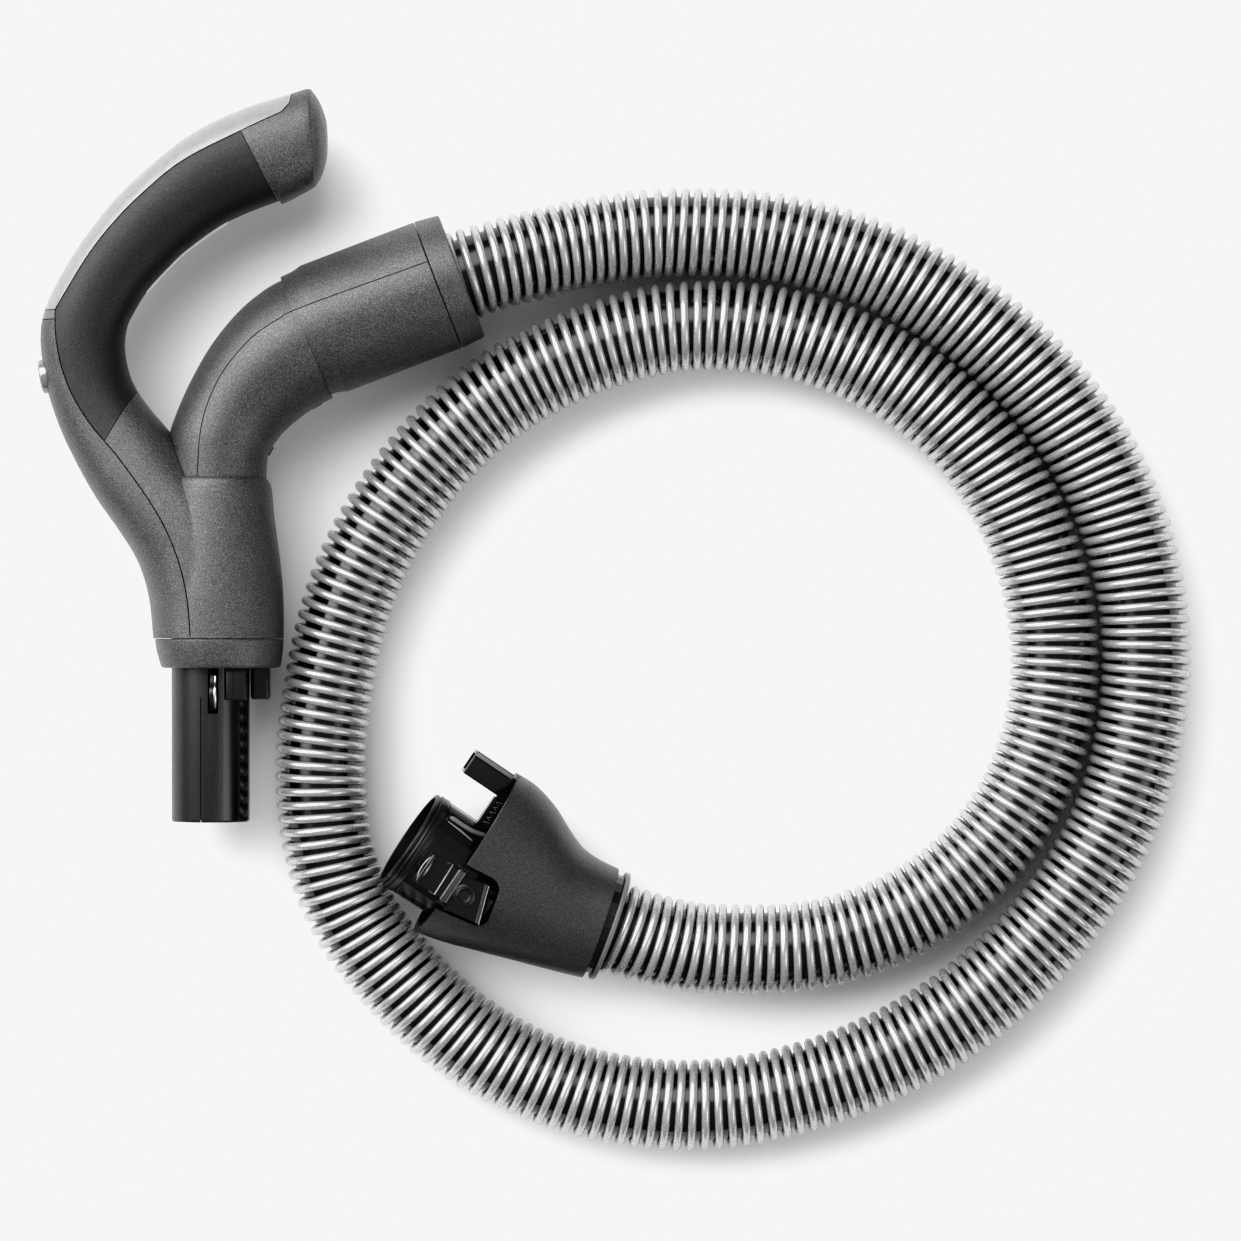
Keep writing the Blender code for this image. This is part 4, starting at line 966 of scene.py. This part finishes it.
def slider_ring(inner, outer, from_angle, to_angle, count=14):
    """The section of a shell around the elbow's pipe, on its inner side."""
    points = []
    for radius, turn in ((outer, 1), (inner, -1)):
        angles = [from_angle + (to_angle - from_angle) * i / count for i in range(count + 1)][::turn]
        for angle in angles:
            a = math.radians(angle)
            points.append((BEND_TO_PIPE - radius * math.cos(a), -radius * math.sin(a)))
    return points


def duct_points():
    """The middle of the air duct through the elbow."""
    points = [(-51.0, -4, HANDLE_Z)]
    for row in smooth_rows(ELBOW, 1)[1:]:
        points.append(((row[0] + row[2]) / 2, (row[1] + row[3]) / 2, HANDLE_Z))
    points.append(tuple(SLEEVE_START + SLEEVE_AXIS * 40))
    return points


def make_elbow():
    """Two shells that meet at the seam; the inner one has the groove that the air slider runs in."""
    blank = loft("elbow", edge_ovals(ELBOW))
    r, end = SLEEVE_RADIUS, SLEEVE_LENGTH
    face = ((0, end), (r - 0.25, end), (r, end - 0.25), (r, 2.2), (r - 0.1, 1.2), (r - 0.45, 0.0))
    slope = ((r - 0.95, -1.6), (r - 1.25, -3.4), (r - 1.45, -5.5), (r - 1.6, -8.4), (0, -8.4))
    carve(blank, [("UNION", turned("cut_sleeve", face + slope, sleeve_frame(), closed=False))])
    seam = rounded_line(ELBOW_SEAM)
    back = shifted(seam, HALF_ELBOW_SEAM) + [(80, 170), (-110, 170), (-110, 0)]
    elbow_shell(blank, "elbow_back", back, "elbow_outer_shell")
    front = shifted(seam, -HALF_ELBOW_SEAM) + [(110, 40), (0, 0)]
    section = slider_ring(22.0, 34.0, 16, 70)
    start, stop = SLIDER_FROM - 0.4, SLIDER_TO + SLIDER_TRAVEL + 0.4
    groove = swept_about_bend("cut_groove", section, start, stop, steps=24)
    elbow_shell(blank, "elbow_front", front, "elbow_inner_shell", groove)
    drop(blank)


def elbow_shell(blank, name, outline, node, *others):
    shell = copy_of(blank, name)
    duct = bar(f"cut_duct_{name}", duct_points(), DUCT_RADIUS, sides=32)
    cuff = rod(f"cut_cuff_{name}", 27.4, 20, 90, sleeve_frame(), count=64)
    cut_all(shell, *others, duct, cuff, paint=PAINT["shell"], first=[("INTERSECT", region(name, outline))])
    hold(shell, "shell", "root", node)


def make_slider():
    """The curved slider with a raised bump at each end."""
    slider = swept_about_bend("slider", slider_ring(22.3, 25.4, 18, 68), SLIDER_FROM, SLIDER_TO, steps=16)
    section = slider_ring(23.0, 26.5, 20, 60)
    ends = ((SLIDER_FROM, SLIDER_FROM + SLIDER_BUMP), (SLIDER_TO - SLIDER_BUMP, SLIDER_TO))
    bumps = [swept_about_bend(f"cut_bump_{i}", section, start, stop, steps=3)
             for i, (start, stop) in enumerate(ends)]
    carve(slider, [("UNION", bump) for bump in bumps], PAINT["black"])
    hold(slider, "black", "slider", "air_slider")


def make_swivel():
    length = COLLAR_LENGTH - GAP
    place = sleeve_frame(SLEEVE_LENGTH + GAP)
    r = SLEEVE_RADIUS
    outside = ((r - 2.0, length), (r - 1.5, length - 0.1), (r - 0.9, length - 0.7), (r, 1.0), (r, 0.25),
               (r - 0.25, 0))
    inside = ((24.0, 0), (24.0, length - 2.5), (21.0, length - 2.5), (21.0, length - 0.3), (21.3, length))
    collar = turned("collar_ring", outside + inside, place, PAINT["shell"])
    hold(collar, "shell", "hose_swivel", "swivel_collar")


# ---- Connector ----
def mouth_frame():
    """+Z out of the connector's mouth, +Y up."""
    return frame_at(MOUTH_CENTRE, MOUTH_AXIS)


def housing_ovals(grow, first=0, past_mouth=0.0):
    """The housing's sections, each tilted a little more from the hose end's up to the mouth's."""
    rows = smooth_rows(HOUSING[first:], STEPS_BETWEEN)
    up_start = frame_at(RING_CENTRE, HOSE_END_AXIS).col[1].to_3d()
    up_end = mouth_frame().col[1].to_3d()
    made = []
    for i, row in enumerate(rows):
        upper, lower = Vector((row[0], row[1], row[4])), Vector((row[2], row[3], row[4]))
        half = (upper - lower) / 2
        side = half.normalized() * (half.length + grow)
        up = up_start.lerp(up_end, i / (len(rows) - 1)).normalized() * (row[5] + grow)
        made.append(oval((upper + lower) / 2, side, up, HANDLE_SQUARENESS, HOUSING_SIDES))
    if past_mouth:
        made.append([point + MOUTH_AXIS * past_mouth for point in made[-1]])
    return made


def mirrored(thing, name):
    """A copy on the other side of the plane through the mouth's axis and its side direction."""
    up = mouth_frame().col[1].to_3d()
    centre = MOUTH_CENTRE * MM
    flip = Matrix.Translation(centre) @ Matrix.Scale(-1, 4, up) @ Matrix.Translation(-centre)
    made = copy_of(thing, name)
    made.data.transform(flip)
    made.data.flip_normals()
    return made


def make_housing():
    housing = loft("housing", housing_ovals(0.0))
    ring = frame_at(RING_CENTRE, HOSE_END_AXIS)
    bore = rod("cut_hose_bore", 23.4, -4, 24, ring, count=64)
    hollow = loft("cut_hollow_b", housing_ovals(-HOUSING_WALL, 1, 12.0))
    top = prism("cut_notch_top", rounded_outline(NOTCH, NOTCH_CORNER), 44, 80)
    bottom = mirrored(top, "cut_notch_bottom")
    cut_all(housing, bore, hollow, top, bottom, paint=PAINT["dark_shell"])
    hold(housing, "dark_shell", "root", "connector_housing")


def rounded_outline(points, radius, steps=5):
    """An outline with its corners rounded by about that much."""
    made = []
    count = len(points)
    for i in range(count):
        here = Vector(points[i])
        before, after = Vector(points[i - 1]) - here, Vector(points[(i + 1) % count]) - here
        cut_a = here + before.normalized() * min(radius, before.length * 0.45)
        cut_b = here + after.normalized() * min(radius, after.length * 0.45)
        for k in range(steps + 1):
            t = k / steps
            made.append(tuple(cut_a * (1 - t) ** 2 + here * 2 * t * (1 - t) + cut_b * t * t))
    return made


def make_ring():
    place = frame_at(RING_CENTRE - HOSE_END_AXIS * 3.4, HOSE_END_AXIS)
    outside = ((24.9, 2.2), (25.15, 2.0), (25.2, 1.7), (25.2, 0.5), (25.0, 0.15), (24.5, 0))
    inside = ((21.4, 0), (21.0, 0.3), (21.0, 2.2))
    ring = turned("end_ring", outside + inside, place, PAINT["grey"])
    hold(ring, "grey", "connector_swivel", "connector_ring")


def make_seal():
    lip = ((22.2, 24.8), (23.0, 24.7), (23.4, 24.3), (23.5, 23.4), (23.0, 23.0))
    bead = ((23.0, 22.7), (23.9, 22.3), (24.1, 21.9), (24.0, 21.4), (23.4, 21.0))
    foot = ((23.5, 20.7), (24.0, 20.4), (24.1, 18.4), (23.8, 17.8), (21.6, 17.8), (21.6, 24.6))
    seal = turned("mouth_lip", lip + bead + foot, mouth_frame(), PAINT["rubber"])
    hold(seal, "rubber", "root", "mouth_seal")


def in_mouth(points):
    frame = mouth_frame()
    return [frame @ Vector(p) for p in points]


def flat_on(outline, height):
    """An outline from above, dropped onto the plane at that height over the mouth's axis."""
    frame = mouth_frame()
    up = frame.col[1].to_3d()
    level = (frame.translation + up * height).dot(up)
    made = []
    for x, y in outline:
        z = (level - up.x * x - up.y * y) / up.z
        made.append(frame.inverted() @ Vector((x, y, z)))
    return made


def pin_frame():
    """+Z along the upper latch's pin, from its middle."""
    frame = mouth_frame()
    return frame_at(frame @ Vector((-LATCH_SIDE, PIN_HEIGHT, -0.8)), frame.col[0].to_3d())


def latch_slab(low, high):
    """The pad and the arm to the hook in one, with the bore for the pin."""
    frame = mouth_frame()
    rings = []
    for height in (LATCH_BOTTOM, LATCH_TOP):
        rings.append(in_mouth((p.x, height, p.z) for p in flat_on(PAD, height)))
    slab = loft("latch_slab", rings)
    arm = box("cut_arm", (low + 0.5, 24.5, 0.5), (high - 0.5, 26.2, 15.6), frame)
    bore = rod("cut_pin_bore", 1.35, -12, 12, pin_frame(), count=32)
    room = box("cut_lug_room", (high, 20, -3.2), (high + 6, 30, 3.0), frame)
    boss = box("cut_boss_core", (low + 0.2, LATCH_BOTTOM, -2.4), (high - 0.2, 28.0, 0.8), frame)
    cut_all(slab, bore, room, paint=PAINT["gloss_black"], first=[("UNION", arm), ("UNION", boss)])
    return slab


def latch_bars(low, high):
    """The raised bars at the front and the rear of the pad."""
    front = box("latch_front_bar", (low, LATCH_TOP, -2.6), (high, 28.3, 1.0), mouth_frame(),
                PAINT["dark_shell"], 0.45)
    ends = flat_on(PAD[1:3], LATCH_TOP)
    one, two = ends
    rings = []
    for height in (26.0, 28.5):
        corners = ((one, -1.6), (two, -1.6), (two, 0.6), (one, 0.6))
        rings.append(in_mouth((end.x, height, end.z + ahead) for end, ahead in corners))
    return [front, loft("latch_rear_bar", rings, PAINT["dark_shell"])]


def latch_hook_and_highlights(low, high):
    """The hook, and thin lighter bars along the edges of the bars, the hook and the arm: painted highlights.
    """
    def line(name, points, radius):
        return bar(name, in_mouth(points), radius, PAINT["gloss"])

    middle = (low + high) / 2
    ends = flat_on(PAD[1:3], LATCH_TOP)
    # Thin lighter bars on the latch's edges: painted highlights.
    lip = line("latch_rear_highlight", [(end.x, 28.4, end.z - 1.4) for end in ends], 0.4)
    edges = [line(f"latch_bar_edge_{i}", [(low + 0.3, 28.1, z), (high - 0.3, 28.1, z)], 0.38)
             for i, z in enumerate((-2.2, 0.6))]
    straight = [(low + 0.8, 26.9, 12.9), (middle, 27.4, 12.6), (high - 0.8, 26.9, 12.9)]
    bowed = [(low + 1.2, 26.9, 13.4), (middle - 4, 27.3, 14.9), (middle, 27.4, 15.4),
             (middle + 4, 27.3, 14.9), (high - 1.2, 26.9, 13.4)]
    bracket = [(low + 0.7, 26.3, 7.0), (low + 0.2, 26.3, 4.2), (high - 0.6, 26.3, 3.6),
               (high - 0.6, 26.3, 6.6)]
    corners = (low + 0.7, 25.0, 12.4), (high - 0.7, 28.0, 14.6)
    hook = box("latch_hook", *corners, mouth_frame(), PAINT["gloss_black"], 0.9)
    # Lighter lines on the hook and the arm: painted highlights.
    ridge_highlights = [line("hook_ridge_highlight", straight, 0.55), line("hook_bow_highlight", smooth_rows(bowed, 5), 0.35),
              line("arm_bracket_highlight", bracket, 0.35)]
    return [lip, hook] + edges + ridge_highlights


def latch_button():
    """The round button on the pad, with a raised ring around its dark middle."""
    frame = mouth_frame()
    seat = frame_at(frame @ Vector((6.2, LATCH_TOP, -7.4)), frame.col[1].to_3d())
    ring = ((0, 0.9), (2.4, 0.9), (2.7, 1.1), (2.9, 1.9), (3.2, 2.0), (3.5, 1.8), (3.7, 1.3))
    skirt = ((4.6, 1.2), (5.0, 1.0), (5.1, 0.6), (5.1, GAP), (0, GAP))
    return turned("ring_button_upper", ring + skirt, seat, PAINT["black"], 48, closed=False)


def make_latches():
    """The visible latch, and its mirror image on the underside."""
    low, high = -LATCH_SIDE - LATCH_HALF_WIDTH, -LATCH_SIDE + LATCH_HALF_WIDTH
    slab = latch_slab(low, high)
    details = latch_bars(low, high) + latch_hook_and_highlights(low, high)
    button = latch_button()
    lower_button = mirrored(button, "ring_button_lower")
    lower_slab = mirrored(slab, "latch_slab_lower")
    for thing in details:
        hold(mirrored(thing, thing.name + "_lower"), "dark_shell", "bottom_latch")
        hold(thing, "dark_shell", "top_latch")
    hold(slab, "dark_shell", "top_latch", "latch_top")
    hold(lower_slab, "dark_shell", "bottom_latch", "latch_bottom")
    hold(button, "dark_shell", "top_latch", "latch_button_top")
    hold(lower_button, "dark_shell", "bottom_latch", "latch_button_bottom")


def make_mouth_details():
    """The rib beside the latch with a thin lighter bar beside it as a painted highlight, the wire, and small
    lighter bars along the web to the plug as painted glints.
    """
    rib = smooth_rows([(-18.9, 15.2, 16.0), (-18.9, 15.2, 6.0), (-19.6, 14.4, 1.5), (-20.6, 12.9, -2.0)], 5)
    # A thin lighter bar beside the side rib: a painted highlight.
    side_highlight_points = [(-16.8, 17.0, 15.8), (-16.4, 17.4, 9.0), (-15.6, 18.0, 2.2)]
    wire = [(-20.9, 12.3, -2.4), (-27.0, 9.5, -4.0)]
    lines = (
        ("side_rib", rib, 1.1, "grey"),
        ("side_highlight", side_highlight_points, 0.55, "gloss"),
        ("mouth_wire", wire, 0.3, "gloss"),
    )
    for name, points, radius, paint in lines:
        hold(bar(name, in_mouth(points), radius, PAINT[paint]), "gloss_black", "root")
    make_plug()
    # Small lighter zigzag bars along the web: painted glints.
    for i in range(WEB_GLINTS):
        x, odd = -36.2 + GLINT_PITCH * i, i % 2
        glint = [(x, 3.2, -1.6 + 0.7 * odd), (x + 0.9, 3.4, 1.2 - 0.5 * odd), (x + 1.7, 3.2, -0.8)]
        hold(bar(f"web_tooth_{i}", in_mouth(glint), 0.3, PAINT["gloss"], 8), "gloss_black", "root")


def make_plug():
    """The hollow block that holds the plug's pins, with a lighter strip and a lug."""
    frame = mouth_frame()
    block = box("plug_block", (-49.9, -7, 0.4), (-38.1, 7, 21.4), frame, None, 0.6)
    hollow = box("cut_plug_socket", (-48.2, -5.3, 11.5), (-39.8, 5.3, 23), frame)
    groove = box("cut_plug_groove", (-47.3, 6.5, 2.0), (-46.9, 8, 22), frame)
    cut_all(block, hollow, groove, paint=PAINT["gloss_black"])
    hold(block, "gloss_black", "root", "plug_peg")
    strip = box("plug_strip", (-49.5, 6.8, 1.5), (-47.7, 7.35, 20.8), frame, PAINT["grey"], 0.2)
    hold(strip, "gloss_black", "root")
    lug = box("plug_lug", (-51.3, 3.0, -1.2), (-48.6, 7.6, 1.6), frame, PAINT["grey"], 0.4)
    hold(lug, "gloss_black", "root")


# ---- CAD pieces that stay as they are ----
# The latch springs are steel but take the satin black: painted shade, to keep them dark in the gap behind the
# notch.
CAD_PAINT = {
    "button_spring": "steel", "micro_switch": "black", "circuit_board": "board", "contact_pin_1": "brass",
    "contact_pin_2": "brass", "handle_cuff": "black", "connector_cuff": "black", "connector_duct": "black",
    "spigot": "gloss_black", "latch_pin_top": "black", "latch_spring_top": "black",
    "latch_pin_bottom": "black", "latch_spring_bottom": "black", "plug_pin_1": "brass",
    "plug_pin_2": "brass", "plug_pin_3": "brass",
}


def paint_frame():
    """Gives each CAD node that stays its finished material."""
    for name, paint in CAD_PAINT.items():
        mesh = frame["nodes"][name].data
        mesh.materials.clear()
        mesh.materials.append(PAINT[paint])


make_camera()
make_tone()
make_floor()
make_sky()
make_hose()
make_handle()
make_inlay()
make_button()
make_collar()
make_wand()
make_contacts()
make_catch()
make_elbow()
make_slider()
make_swivel()
make_housing()
make_ring()
make_seal()
make_latches()
make_mouth_details()
paint_frame()
